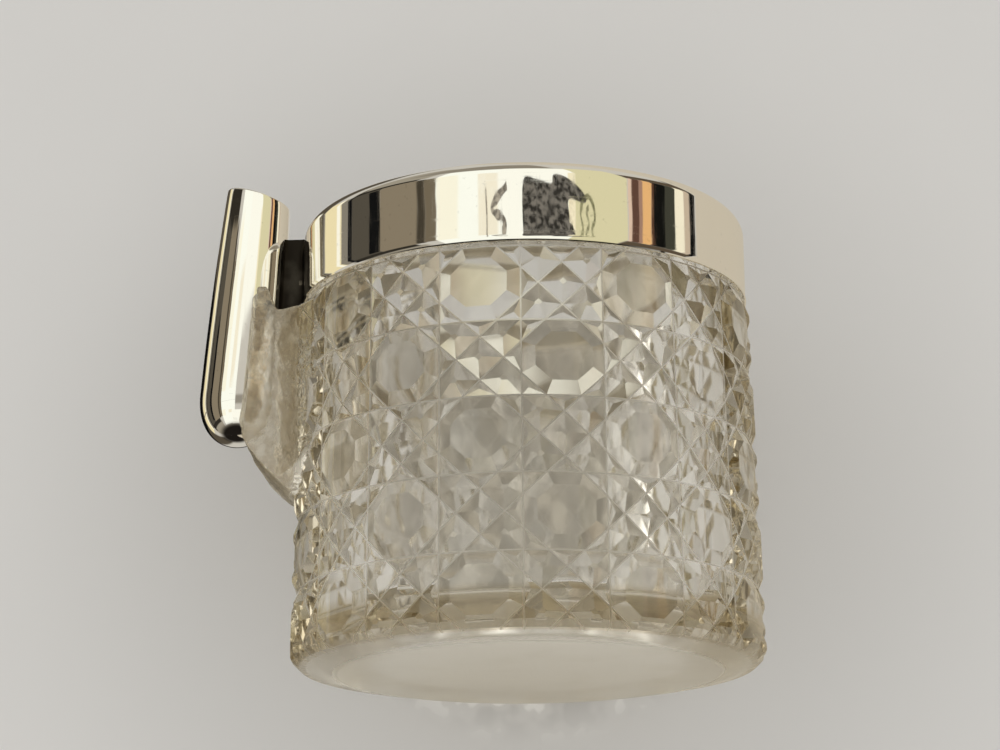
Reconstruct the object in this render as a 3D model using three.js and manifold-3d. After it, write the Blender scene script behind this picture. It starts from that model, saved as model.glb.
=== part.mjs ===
// Match striker pot: a cut-glass cup with a silver collar and a silver side tube.
// Millimetres, +Z up. The origin is the centre of the flat base, and the side tube is toward -X.

import * as THREE from 'three';
import { mergeVertices } from 'three/addons/utils/BufferGeometryUtils.js';
import Module from 'manifold-3d';

const wasm = await Module();
wasm.setup();

// Collar sizes. The collar's radius drives the glass under it.
const COLLAR_RADIUS = 29;
const COLLAR_HEIGHT = 10.3;
const COLLAR_ROUNDING = 1.8;
const SLEEVE_DEPTH = 9;
const LIP_BEAD = 0.6;
const SILVER_GAUGE = 0.5;
const CEMENT_THICKNESS = 1.2;

// Glass cup sizes
const SHOULDER_HEIGHT = 48.2;
const SHOULDER_OVERHANG = 0.4;
const WALL_FLARE = 0.8;
const WALL_START_HEIGHT = 1.8;
const FOOT_BEVEL_WIDTH = 1.2;
const FOOT_SLOPE_WIDTH = 4.8;
const FOOT_SLOPE_HEIGHT = 0.9;
const NECK_WALL = 6.6;
const BORE_DRAFT = 0.2;
const BORE_CORNER_RADIUS = 1.6;
const FLOOR_THICKNESS = 6.1;

// Cut pattern: rows of plain octagonal buttons and cross-cut squares, laid like a chequerboard
const CUT_COLUMN_PAIRS = 9;
const CUT_ROWS = 5;
const TOP_GROOVE_DROP = 0.5;
const BOTTOM_GROOVE_HEIGHT = 0.6;
const GROOVE_DEPTH = 0.75;
const GROOVE_HALF_WIDTH = 1.7;
const BUTTON_CORNER_SHARE = 0.29;

// Side tube sizes. It leans, with its closed end farther out than its mouth.
const TUBE_RIM_RADIUS = 4.25;
const TUBE_BELLY_RADIUS = 5;
const TUBE_LENGTH = 33.9;
const TUBE_DOME_LENGTH = 6.6;
const TUBE_DOME_FULLNESS = 2.2;
const TUBE_LEAN = THREE.MathUtils.degToRad(4.7);
const TUBE_MOUTH_RAKE = THREE.MathUtils.degToRad(13);
const TUBE_STAND = 5.35;

// Bridge strap between the collar and the side tube
const BRIDGE_GAP = 2.2;
const BRIDGE_WIDTH = 3;
const BRIDGE_TOP_DROP = 0.7;
const BRIDGE_OVERLAP = 1.4;

// Glass boss that carries the side tube in an open channel
const BOSS_ROOT_HALF_WIDTH = 12.3;
const BOSS_LIP_WALL = 1.7;
const BOSS_LIP_LENGTH = 2.6;
const BOSS_LIP_SETBACK = 1.9;
const BOSS_LIP_RISE = 3.2;
const BOSS_CORBEL_HEIGHT = 7.6;
const BOSS_CORBEL_FULLNESS = 0.22;
const BOSS_SHIELD_HEIGHT = 10;

// Clearances
const SEAT_GAP = 0.3;
const CEMENT_GAP = 0.15;
const SOLDER_GAP = 0.3;
const FIT_GAP = 0.3;

// Facet counts
const ROUND_SEGMENTS = 60;
const TUBE_SEGMENTS = 32;
const ARC_SEGMENTS = 4;
const DOME_SEGMENTS = 6;
const BARREL_SEGMENTS = 4;
const BUTTON_CORNERS = 8;
const OVERCUT = 1;

// Smallest facet area and rim step, in cells, and the tolerances for cutting and joining corners
const LEAST_AREA = 1e-7;
const LEAST_STEP = 1e-7;
const CUT_TOLERANCE = 1e-9;
const JOIN_TOLERANCE = 1e-3;

// Heights and radii worked out from the sizes above
const collarBottom = SHOULDER_HEIGHT + SEAT_GAP;
const collarTop = collarBottom + COLLAR_HEIGHT;
const neckRadius = COLLAR_RADIUS - SILVER_GAUGE - CEMENT_THICKNESS - 2 * CEMENT_GAP;
const cementTop = collarTop - SILVER_GAUGE - CEMENT_GAP;
const neckTop = cementTop - CEMENT_THICKNESS / 2 - CEMENT_GAP;
const boreRadius = neckRadius - NECK_WALL;
const sleeveOuterRadius = boreRadius - FIT_GAP;
const sleeveInnerRadius = sleeveOuterRadius - SILVER_GAUGE;
const shoulderRadius = COLLAR_RADIUS + SHOULDER_OVERHANG;
const wallBaseRadius = shoulderRadius + WALL_FLARE;
const footEdgeRadius = wallBaseRadius - FOOT_BEVEL_WIDTH;
const footRadius = footEdgeRadius - FOOT_SLOPE_WIDTH;
const topGroove = SHOULDER_HEIGHT - TOP_GROOVE_DROP;
const rowHeight = (topGroove - BOTTOM_GROOVE_HEIGHT) / CUT_ROWS;
const cutColumns = 2 * CUT_COLUMN_PAIRS;
const columnAngle = (2 * Math.PI) / cutColumns;
const frontAngle = -Math.PI / 2;

// The side tube's place: its mouth stands above the collar and its axis leans in the XZ plane.
const rimHeight = collarTop + TUBE_STAND;
const bridgeTop = collarTop - BRIDGE_TOP_DROP;
const bridgeBottom = collarBottom - BRIDGE_OVERLAP;
const barrelLength = TUBE_LENGTH - TUBE_DOME_LENGTH;
const bridgeTopReach = (rimHeight - bridgeTop) / Math.cos(TUBE_LEAN);
const bridgeAxis = -(COLLAR_RADIUS + BRIDGE_GAP + barrelRadius(bridgeTopReach));
const rimAxis = bridgeAxis + Math.tan(TUBE_LEAN) * (rimHeight - bridgeTop);
const tubeBottom = rimHeight - TUBE_LENGTH * Math.cos(TUBE_LEAN);

// Outer radius of the tube's barrel at a distance below its rim: a slow swell that ends level
function barrelRadius(reach) {
  const left = 1 - reach / barrelLength;
  return TUBE_BELLY_RADIUS - (TUBE_BELLY_RADIUS - TUBE_RIM_RADIUS) * left * left;
}

// X of the tube's axis at a height
function tubeAxis(height) {
  return rimAxis - Math.tan(TUBE_LEAN) * (rimHeight - height);
}

// Radius of the uncut glass wall at a height
function wallRadius(height) {
  const share = (SHOULDER_HEIGHT - height) / SHOULDER_HEIGHT;
  return shoulderRadius + WALL_FLARE * share;
}

function toSolid(geometry) {
  const bare = geometry.index ? geometry.toNonIndexed() : geometry.clone();
  bare.deleteAttribute('normal');
  bare.deleteAttribute('uv');
  const merged = mergeVertices(bare, JOIN_TOLERANCE);
  const vertProperties = new Float32Array(merged.attributes.position.array);
  const corners = merged.index.array;
  const kept = [];
  for (let i = 0; i < corners.length; i += 3) {
    const [a, b, c] = [corners[i], corners[i + 1], corners[i + 2]];
    if (a !== b && b !== c && c !== a) kept.push(a, b, c);
  }
  return new wasm.Manifold(new wasm.Mesh({
    numProp: 3,
    vertProperties,
    triVerts: new Uint32Array(kept),
  }));
}

function toGeometry(solid) {
  const mesh = solid.getMesh();
  const geometry = new THREE.BufferGeometry();
  geometry.setAttribute('position', new THREE.BufferAttribute(new Float32Array(mesh.vertProperties), 3));
  geometry.setIndex(new THREE.BufferAttribute(new Uint32Array(mesh.triVerts), 1));
  geometry.computeVertexNormals();
  return geometry;
}

// A solid turned about +Z from [radius, height] points that run counterclockwise, with Z upward
function turned(points, segments) {
  const profile = points.map(([radius, height]) => new THREE.Vector2(radius, height));
  if (points[0][0] > 0) profile.push(profile[0].clone());
  return new THREE.LatheGeometry(profile, segments).rotateX(Math.PI / 2);
}

// Points of a circular arc from one angle to another, both ends included
function arcPoints(centreRadius, centreHeight, radius, fromAngle, toAngle, steps) {
  return Array.from({ length: steps + 1 }, (_, i) => {
    const angle = fromAngle + ((toAngle - fromAngle) * i) / steps;
    return [centreRadius + radius * Math.cos(angle), centreHeight + radius * Math.sin(angle)];
  });
}

// Cut pattern in cell units: u counts columns round the wall, and v counts rows up it.
// A groove is given by the distance from its valley line, and its depth falls off evenly.

const cellWidth = columnAngle * (shoulderRadius + WALL_FLARE / 2);
const diagonalSpan = 1 / Math.hypot(1 / cellWidth, 1 / rowHeight);
const grooveSlope = GROOVE_DEPTH / GROOVE_HALF_WIDTH;

const straightGrooves = [
  ([u]) => u * cellWidth,
  ([u]) => (u - 1) * cellWidth,
  ([, v]) => v * rowHeight,
  ([, v]) => (v - 1) * rowHeight,
];

function diagonalGrooves(isButton) {
  const leg = BUTTON_CORNER_SHARE;
  const sums = isButton ? [leg, 2 - leg] : [1 - leg, 1 + leg];
  const differences = isButton ? [leg - 1, 1 - leg] : [-leg, leg];
  return [
    ...sums.map((sum) => ([u, v]) => (u + v - sum) * diagonalSpan),
    ...differences.map((difference) => ([u, v]) => (u - v - difference) * diagonalSpan),
  ];
}

// The part of a polygon where a linear function is not negative
function clip(polygon, value) {
  const kept = [];
  polygon.forEach((point, i) => {
    const next = polygon[(i + 1) % polygon.length];
    const here = snapZero(value(point));
    const there = snapZero(value(next));
    if (here >= 0) kept.push(point);
    if (here * there < 0) {
      const share = here / (here - there);
      kept.push([point[0] + (next[0] - point[0]) * share, point[1] + (next[1] - point[1]) * share]);
    }
  });
  return kept;
}

function snapZero(value) {
  return Math.abs(value) < CUT_TOLERANCE ? 0 : value;
}

function area(polygon) {
  return polygon.reduce((sum, [x, y], i) => {
    const [nextX, nextY] = polygon[(i + 1) % polygon.length];
    return sum + (x * nextY - nextX * y) / 2;
  }, 0);
}

// All flat facets of one cell. Each is a polygon of [u, v, depth] corners.
function cellFacets(isButton) {
  const diagonals = diagonalGrooves(isButton);
  const grooves = [...straightGrooves, ...diagonals];
  let regions = [[[0, 0], [1, 0], [1, 1], [0, 1]]];
  for (const distance of diagonals) {
    regions = regions.flatMap((region) => [
      clip(region, distance),
      clip(region, (point) => -distance(point)),
    ]);
    regions = regions.filter((region) => region.length > 2 && area(region) > LEAST_AREA);
  }
  return regions.flatMap((region) => regionFacets(region, grooves));
}

function regionFacets(region, grooves) {
  const mean = (axis) => region.reduce((sum, point) => sum + point[axis], 0) / region.length;
  const middle = [0, 1].map(mean);
  const surfaces = grooves.map((distance) => {
    const side = Math.sign(distance(middle));
    return (point) => GROOVE_DEPTH - grooveSlope * side * distance(point);
  });
  surfaces.push(() => 0);
  const facets = [];
  surfaces.forEach((surface, i) => {
    let facet = region;
    surfaces.forEach((other, j) => {
      if (j !== i) facet = clip(facet, (point) => surface(point) - other(point));
    });
    if (facet.length > 2 && area(facet) > LEAST_AREA) {
      facets.push(facet.map(([u, v]) => [u, v, Math.max(0, surface([u, v]))]));
    }
  });
  return facets;
}

// The place on the wall of a pattern point, at its depth under the uncut surface
function wallPoint([column, row, depth]) {
  const angle = frontAngle + column * columnAngle;
  const height = BOTTOM_GROOVE_HEIGHT + row * rowHeight;
  const radius = wallRadius(height) - depth;
  return new THREE.Vector3(radius * Math.cos(angle), radius * Math.sin(angle), height);
}

// The cut wall between the foot bevel and the shoulder, closed by the foot and a flat top.
// The half row above the top groove and the foot of the lowest row are trimmed at their heights.
function cutWallSolid() {
  const lowest = (WALL_START_HEIGHT - BOTTOM_GROOVE_HEIGHT) / rowHeight;
  const highest = (SHOULDER_HEIGHT - BOTTOM_GROOVE_HEIGHT) / rowHeight;
  const cells = { button: cellFacets(true), cross: cellFacets(false) };
  const triangles = [];
  const addFan = (corners) => {
    for (let i = 1; i < corners.length - 1; i += 1) triangles.push(corners[0], corners[i], corners[i + 1]);
  };
  for (let column = 0; column < cutColumns; column += 1) {
    const edges = { low: [], high: [] };
    for (let row = 0; row <= CUT_ROWS; row += 1) {
      const isButton = (column + row) % 2 === CUT_ROWS % 2;
      for (const facet of isButton ? cells.button : cells.cross) {
        const placed = facet.map(([u, v, depth]) => [column + u, row + v, depth]);
        const trimmed = trimRows(placed, lowest, highest);
        if (trimmed.length < 3) continue;
        addRimPoints(trimmed, lowest, edges.low);
        addRimPoints(trimmed, highest, edges.high);
        const corners = trimmed.map(wallPoint);
        if (corners.length >= BUTTON_CORNERS) addSpokes(corners, trimmed, triangles);
        else addFan(corners);
      }
    }
    closeFoot(sortedRim(edges.low), triangles);
    closeTop(sortedRim(edges.high), triangles);
  }
  const geometry = new THREE.BufferGeometry().setFromPoints(triangles);
  return toSolid(geometry);
}

// A many-sided facet is fanned from its middle, so that it follows the round wall evenly.
function addSpokes(corners, placed, triangles) {
  const mean = (axis) => placed.reduce((sum, point) => sum + point[axis], 0) / placed.length;
  const centre = wallPoint([0, 1, 2].map(mean));
  corners.forEach((corner, i) => triangles.push(centre, corner, corners[(i + 1) % corners.length]));
}

// Keeps the part of a placed facet between two rows, with depths carried along cut edges
function trimRows(placed, lowest, highest) {
  const cutAt = (polygon, value) => {
    const kept = [];
    polygon.forEach((point, i) => {
      const next = polygon[(i + 1) % polygon.length];
      const here = snapZero(value(point));
      const there = snapZero(value(next));
      if (here >= 0) kept.push(point);
      if (here * there < 0) {
        const share = here / (here - there);
        kept.push(point.map((number, axis) => number + (next[axis] - number) * share));
      }
    });
    return kept;
  };
  const raised = cutAt(placed, ([, v]) => v - lowest);
  const trimmed = raised.length > 2 ? cutAt(raised, ([, v]) => highest - v) : [];
  return trimmed.length > 2 && area(trimmed) > LEAST_AREA ? trimmed : [];
}

function addRimPoints(polygon, row, rim) {
  polygon.forEach((point) => {
    if (Math.abs(point[1] - row) < CUT_TOLERANCE) rim.push([point[0], row, point[2]]);
  });
}

function sortedRim(rim) {
  const ordered = [...rim].sort((a, b) => a[0] - b[0]);
  return ordered.filter((point, i) => i === 0 || point[0] - ordered[i - 1][0] > LEAST_STEP);
}

// The bevel, the sloped underside and the flat base, for one column
function closeFoot(rim, triangles) {
  const rings = [
    rim.map(wallPoint),
    rim.map(([column]) => ringPoint(column, footEdgeRadius, FOOT_SLOPE_HEIGHT)),
    rim.map(([column]) => ringPoint(column, footRadius, 0)),
  ];
  const centre = new THREE.Vector3(0, 0, 0);
  for (let i = 0; i < rim.length - 1; i += 1) {
    for (let ring = 0; ring < rings.length - 1; ring += 1) {
      const [upper, lower] = [rings[ring], rings[ring + 1]];
      triangles.push(upper[i], lower[i], lower[i + 1], upper[i], lower[i + 1], upper[i + 1]);
    }
    const base = rings[rings.length - 1];
    triangles.push(base[i], centre, base[i + 1]);
  }
}

function closeTop(rim, triangles) {
  const centre = new THREE.Vector3(0, 0, SHOULDER_HEIGHT);
  const ring = rim.map(wallPoint);
  for (let i = 0; i < ring.length - 1; i += 1) triangles.push(ring[i], ring[i + 1], centre);
}

function ringPoint(column, radius, height) {
  const angle = frontAngle + column * columnAngle;
  return new THREE.Vector3(radius * Math.cos(angle), radius * Math.sin(angle), height);
}

// The ground neck that stands inside the collar, started below the shoulder so that it joins the cup
function neckSolid() {
  return toSolid(turned([
    [0, FLOOR_THICKNESS],
    [neckRadius, FLOOR_THICKNESS],
    [neckRadius, neckTop],
    [0, neckTop],
  ], ROUND_SEGMENTS));
}

function boreSolid() {
  const floorRadius = boreRadius - BORE_DRAFT;
  const corner = arcPoints(
    floorRadius - BORE_CORNER_RADIUS,
    FLOOR_THICKNESS + BORE_CORNER_RADIUS,
    BORE_CORNER_RADIUS,
    -Math.PI / 2,
    0,
    ARC_SEGMENTS,
  );
  return toSolid(turned([
    [0, FLOOR_THICKNESS],
    ...corner,
    [boreRadius, neckTop],
    [boreRadius, neckTop + OVERCUT],
    [0, neckTop + OVERCUT],
  ], ROUND_SEGMENTS));
}

// The side tube's outer form, grown by a clearance: [radius, height] from the closed end to the rim
function tubeOutline(clearance) {
  const dome = Array.from({ length: DOME_SEGMENTS }, (_, i) => {
    const angle = (Math.PI / 2) * (i / DOME_SEGMENTS);
    const power = 2 / TUBE_DOME_FULLNESS;
    return [
      (TUBE_BELLY_RADIUS + clearance) * Math.sin(angle) ** power,
      -barrelLength - (TUBE_DOME_LENGTH + clearance) * Math.cos(angle) ** power,
    ];
  });
  const barrel = Array.from({ length: BARREL_SEGMENTS + 1 }, (_, i) => {
    const reach = barrelLength * (1 - i / BARREL_SEGMENTS);
    return [barrelRadius(reach) + clearance, -reach];
  });
  return [...dome, ...barrel];
}

// The mouth is raked: heights rise toward -X, more and more up the barrel, from none at its foot.
function rakeMouth(geometry) {
  const points = geometry.attributes.position;
  for (let i = 0; i < points.count; i += 1) {
    const share = Math.max(0, 1 + points.getZ(i) / barrelLength);
    const rise = -points.getX(i) * Math.tan(TUBE_MOUTH_RAKE) * share ** 2;
    points.setZ(i, points.getZ(i) + rise);
  }
  geometry.computeVertexNormals();
  return geometry;
}

// Puts geometry made round the tube's own axis, with its rim at height 0, into its leaning place
function placeTube(geometry) {
  return geometry.rotateY(TUBE_LEAN).translate(rimAxis, 0, rimHeight);
}

function tubeCutter(clearance) {
  return toSolid(placeTube(turned([...tubeOutline(clearance), [0, 0]], TUBE_SEGMENTS)));
}

// The boss is where three outlines meet: a plan drawn up, a side view drawn across and a shield
// seen from the tube's side, drawn in toward the cup.
function bossSolid() {
  const saddle = bridgeBottom - SEAT_GAP;
  const lipTop = saddle + BOSS_LIP_RISE;
  const lipBottom = tubeBottom - SEAT_GAP;
  const lipHalfWidth = TUBE_BELLY_RADIUS + FIT_GAP + BOSS_LIP_WALL;
  const lipFoot = tubeAxis(lipBottom) + BOSS_LIP_SETBACK;
  const lipCrest = tubeAxis(lipTop) + BOSS_LIP_SETBACK;
  const corbelBottom = lipBottom - BOSS_CORBEL_HEIGHT;
  const rootInside = -boreRadius;
  const rootX = -Math.sqrt(shoulderRadius ** 2 - BOSS_ROOT_HALF_WIDTH ** 2);
  const neckX = lipCrest + BOSS_LIP_LENGTH / 2;

  const plan = new THREE.Shape();
  plan.moveTo(rootInside, -BOSS_ROOT_HALF_WIDTH);
  plan.lineTo(rootInside, BOSS_ROOT_HALF_WIDTH);
  plan.lineTo(rootX, BOSS_ROOT_HALF_WIDTH);
  plan.quadraticCurveTo((rootX + neckX) / 2, lipHalfWidth, neckX, lipHalfWidth);
  plan.lineTo(lipFoot - OVERCUT, lipHalfWidth);
  plan.lineTo(lipFoot - OVERCUT, -lipHalfWidth);
  plan.lineTo(neckX, -lipHalfWidth);
  plan.quadraticCurveTo((rootX + neckX) / 2, -lipHalfWidth, rootX, -BOSS_ROOT_HALF_WIDTH);
  const planHeight = lipTop - corbelBottom + 2 * OVERCUT;
  const planOptions = { depth: planHeight, bevelEnabled: false, curveSegments: ARC_SEGMENTS };
  const planBlock = new THREE.ExtrudeGeometry(plan, planOptions).translate(0, 0, corbelBottom - OVERCUT);

  // The corbel's slope bulges from a straight line toward the corner below the lip.
  const middleX = (lipFoot - shoulderRadius) / 2;
  const middleZ = (lipBottom + corbelBottom) / 2;
  const bendX = middleX + (lipFoot - middleX) * BOSS_CORBEL_FULLNESS;
  const bendZ = middleZ + (corbelBottom - middleZ) * BOSS_CORBEL_FULLNESS;
  const side = new THREE.Shape();
  side.moveTo(rootInside, saddle);
  side.lineTo(lipCrest + BOSS_LIP_LENGTH, saddle);
  side.lineTo(lipCrest + BOSS_LIP_LENGTH / 2, lipTop);
  side.lineTo(lipCrest, lipTop);
  side.lineTo(lipFoot, lipBottom);
  side.quadraticCurveTo(bendX, bendZ, -shoulderRadius, corbelBottom);
  side.lineTo(rootInside, corbelBottom);
  const sideDepth = 2 * (BOSS_ROOT_HALF_WIDTH + OVERCUT);
  const sideOptions = { depth: sideDepth, bevelEnabled: false, curveSegments: 2 * ARC_SEGMENTS };
  const sideBlock = new THREE.ExtrudeGeometry(side, sideOptions)
    .rotateX(Math.PI / 2)
    .translate(0, sideDepth / 2, 0);

  const shield = new THREE.Shape();
  shield.moveTo(-BOSS_ROOT_HALF_WIDTH, lipTop + OVERCUT);
  shield.lineTo(-BOSS_ROOT_HALF_WIDTH, corbelBottom + BOSS_SHIELD_HEIGHT);
  shield.absellipse(
    0,
    corbelBottom + BOSS_SHIELD_HEIGHT,
    BOSS_ROOT_HALF_WIDTH,
    BOSS_SHIELD_HEIGHT,
    Math.PI,
    2 * Math.PI,
  );
  shield.lineTo(BOSS_ROOT_HALF_WIDTH, lipTop + OVERCUT);
  const shieldDepth = rootInside - lipFoot + 2 * OVERCUT;
  const shieldOptions = { depth: shieldDepth, bevelEnabled: false, curveSegments: 4 * ARC_SEGMENTS };
  const shieldBlock = new THREE.ExtrudeGeometry(shield, shieldOptions)
    .rotateX(Math.PI / 2)
    .rotateZ(Math.PI / 2)
    .translate(lipFoot - OVERCUT, 0, 0);

  return toSolid(planBlock).intersect(toSolid(sideBlock)).intersect(toSolid(shieldBlock));
}

function glassBody() {
  const glass = cutWallSolid()
    .add(neckSolid())
    .add(bossSolid())
    .subtract(boreSolid())
    .subtract(tubeCutter(FIT_GAP));
  return toGeometry(glass);
}

// The collar's outer wall, its rounded shoulder and its flat top, with a small bead at the mouth
function collarBand() {
  const inner = COLLAR_RADIUS - SILVER_GAUGE;
  const bead = LIP_BEAD / 2;
  const roundingHeight = collarTop - COLLAR_ROUNDING;
  const roundingRadius = COLLAR_RADIUS - COLLAR_ROUNDING;
  const under = COLLAR_ROUNDING - SILVER_GAUGE;
  return turned([
    [inner, collarBottom],
    [COLLAR_RADIUS, collarBottom],
    ...arcPoints(roundingRadius, roundingHeight, COLLAR_ROUNDING, 0, Math.PI / 2, ARC_SEGMENTS),
    ...arcPoints(sleeveInnerRadius, collarTop - bead, bead, Math.PI / 2, 1.5 * Math.PI, ARC_SEGMENTS),
    [sleeveInnerRadius + SILVER_GAUGE, collarTop - SILVER_GAUGE],
    ...arcPoints(roundingRadius, roundingHeight, under, Math.PI / 2, 0, ARC_SEGMENTS / 2),
  ], ROUND_SEGMENTS);
}

// The sleeve that lines the mouth, soldered under the collar's flat top
function collarSleeve() {
  const top = collarTop - LIP_BEAD - SOLDER_GAP;
  const bottom = collarTop - SLEEVE_DEPTH;
  return turned([
    [sleeveInnerRadius, bottom],
    [sleeveOuterRadius, bottom],
    [sleeveOuterRadius, top],
    [sleeveInnerRadius, top],
  ], ROUND_SEGMENTS);
}

// The plaster that beds the collar on the neck: it fills the side and the top of the space
function collarCement() {
  const outer = COLLAR_RADIUS - SILVER_GAUGE - CEMENT_GAP;
  const inner = neckRadius + CEMENT_GAP;
  const ledge = neckTop + CEMENT_GAP;
  const mouth = sleeveOuterRadius + CEMENT_GAP;
  const corner = COLLAR_ROUNDING - SILVER_GAUGE - CEMENT_GAP;
  return turned([
    [inner, collarBottom],
    [outer, collarBottom],
    ...arcPoints(outer - corner, cementTop - corner, corner, 0, Math.PI / 2, ARC_SEGMENTS / 2),
    [mouth, cementTop],
    [mouth, ledge],
    [inner, ledge],
  ], ROUND_SEGMENTS);
}

// The barrel of the side tube: the outer swell, a rounded rim and the inner wall
function sideTube() {
  const outer = tubeOutline(0).slice(DOME_SEGMENTS);
  const lip = SILVER_GAUGE / 2;
  const wall = outer.slice(0, -1);
  const inner = wall.map(([radius, height]) => [radius - SILVER_GAUGE, height]).reverse();
  const rim = arcPoints(TUBE_RIM_RADIUS - lip, -lip, lip, 0, Math.PI, ARC_SEGMENTS);
  return rakeMouth(turned([...wall, ...rim, ...inner], TUBE_SEGMENTS));
}

// The domed end, soldered to the foot of the barrel
function sideTubeCap() {
  const dome = tubeOutline(0).slice(0, DOME_SEGMENTS);
  const seam = -barrelLength - SOLDER_GAP;
  const innerShare = (TUBE_BELLY_RADIUS - SILVER_GAUGE) / TUBE_BELLY_RADIUS;
  const innerDepth = (TUBE_DOME_LENGTH - SILVER_GAUGE) / TUBE_DOME_LENGTH;
  const inner = dome
    .map(([radius, height]) => [radius * innerShare, -barrelLength + (height + barrelLength) * innerDepth])
    .reverse();
  return turned([
    ...dome,
    [TUBE_BELLY_RADIUS, seam],
    [TUBE_BELLY_RADIUS - SILVER_GAUGE, seam],
    ...inner,
  ], TUBE_SEGMENTS);
}

// The strap that joins the side tube to the collar, cut to fit both and clear of the glass shoulder
function bridgeStrap() {
  const height = bridgeTop - bridgeBottom;
  const outerEnd = tubeAxis(bridgeBottom);
  const bar = new THREE.BoxGeometry(-outerEnd, BRIDGE_WIDTH, height)
    .translate(outerEnd / 2, 0, bridgeBottom + height / 2);
  const pot = turned([
    [0, bridgeBottom - OVERCUT],
    [shoulderRadius + WALL_FLARE + FIT_GAP, bridgeBottom - OVERCUT],
    [shoulderRadius + FIT_GAP, collarBottom],
    [COLLAR_RADIUS + FIT_GAP, collarBottom],
    [COLLAR_RADIUS + FIT_GAP, collarTop + OVERCUT],
    [0, collarTop + OVERCUT],
  ], ROUND_SEGMENTS);
  return toGeometry(toSolid(bar).subtract(toSolid(pot)).subtract(tubeCutter(FIT_GAP)));
}

const glass = { color: 0xd9d8cf, roughness: 0.05, metalness: 0, transparent: true, opacity: 0.55 };
const silver = { color: 0xd8d3c8, roughness: 0.12, metalness: 1 };
const plaster = { color: 0xd9d4c6, roughness: 0.9, metalness: 0 };

function part(name, geometry, look) {
  const mesh = new THREE.Mesh(geometry, new THREE.MeshStandardMaterial(look));
  mesh.name = name;
  return mesh;
}

const pot = new THREE.Group();
pot.add(part('glass_body', glassBody(), glass));
pot.add(part('collar_band', collarBand(), silver));
pot.add(part('collar_sleeve', collarSleeve(), silver));
pot.add(part('collar_cement', collarCement(), plaster));
pot.add(part('bridge_strap', bridgeStrap(), silver));

const tube = new THREE.Group();
tube.position.set(rimAxis, 0, rimHeight);
tube.rotation.y = TUBE_LEAN;
tube.add(part('side_tube', sideTube(), silver));
tube.add(part('side_tube_cap', sideTubeCap(), silver));
pot.add(tube);

export default pot;
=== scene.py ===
"""Match striker pot: a cut-glass cup with a silver collar and a slender silver side tube.

Lengths are in metres and +Z is up. The pot's axis is the Z axis, and the side tube is toward -X.
"""

import math

import bmesh
import bpy
from bpy.props import FloatProperty, FloatVectorProperty, IntProperty, PointerProperty
from mathutils import Matrix, Vector, noise


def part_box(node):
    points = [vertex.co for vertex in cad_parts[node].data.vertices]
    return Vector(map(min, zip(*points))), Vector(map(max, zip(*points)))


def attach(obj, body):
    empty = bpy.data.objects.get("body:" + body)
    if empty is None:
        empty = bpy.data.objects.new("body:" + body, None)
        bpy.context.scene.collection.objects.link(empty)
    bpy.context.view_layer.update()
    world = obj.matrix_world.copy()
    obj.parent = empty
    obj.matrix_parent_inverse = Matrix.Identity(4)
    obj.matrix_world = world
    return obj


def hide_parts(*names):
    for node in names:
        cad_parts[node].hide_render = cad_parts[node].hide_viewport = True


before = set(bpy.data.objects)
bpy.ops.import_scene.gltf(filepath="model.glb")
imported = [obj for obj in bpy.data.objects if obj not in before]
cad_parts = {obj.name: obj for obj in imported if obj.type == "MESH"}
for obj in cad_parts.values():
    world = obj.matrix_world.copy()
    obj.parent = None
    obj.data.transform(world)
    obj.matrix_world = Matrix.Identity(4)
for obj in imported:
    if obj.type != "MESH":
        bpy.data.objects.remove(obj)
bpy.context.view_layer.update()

bl_info = {
    "name": "Match Striker Pot",
    "version": (1, 0, 0),
    "blender": (4, 5, 0),
    "location": "3D View > Sidebar > Striker Pot",
    "description": "Builds a cut-glass match striker pot with a silver collar and side tube",
    "category": "Add Mesh",
}

MM = 0.001
FRONT = -math.pi / 2
# Which of many like hands cut the glass and ground its boss
HAND_SEED = 3

# Each kind of surface is shaded smoothly across bends up to these angles
FACET_CREASE = math.radians(8)
SHEET_CREASE = math.radians(28)
PRISM_CREASE = math.radians(30)
STRAP_CREASE = math.radians(35)
SOFT_CREASE = math.radians(40)

# Boxes of the fixed model's pieces, which the sizes below start from
band_low, band_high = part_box("collar_band")
sleeve_low, sleeve_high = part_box("collar_sleeve")
glass_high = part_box("glass_body")[1]
strap_low, strap_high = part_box("bridge_strap")


def length(name, description, default):
    """A length that the user can change."""
    return FloatProperty(
        name=name, description=description, default=default, min=0.0, precision=5,
        subtype="DISTANCE", unit="LENGTH",
    )


def angle(name, description, degrees):
    """An angle that the user can change."""
    return FloatProperty(
        name=name, description=description, default=math.radians(degrees),
        subtype="ANGLE", unit="ROTATION",
    )


def colour(name, description, default):
    """A colour that the user can change."""
    return FloatVectorProperty(
        name=name, description=description, default=default, size=4, min=0.0, soft_max=1.0,
        subtype="COLOR",
    )


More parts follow.
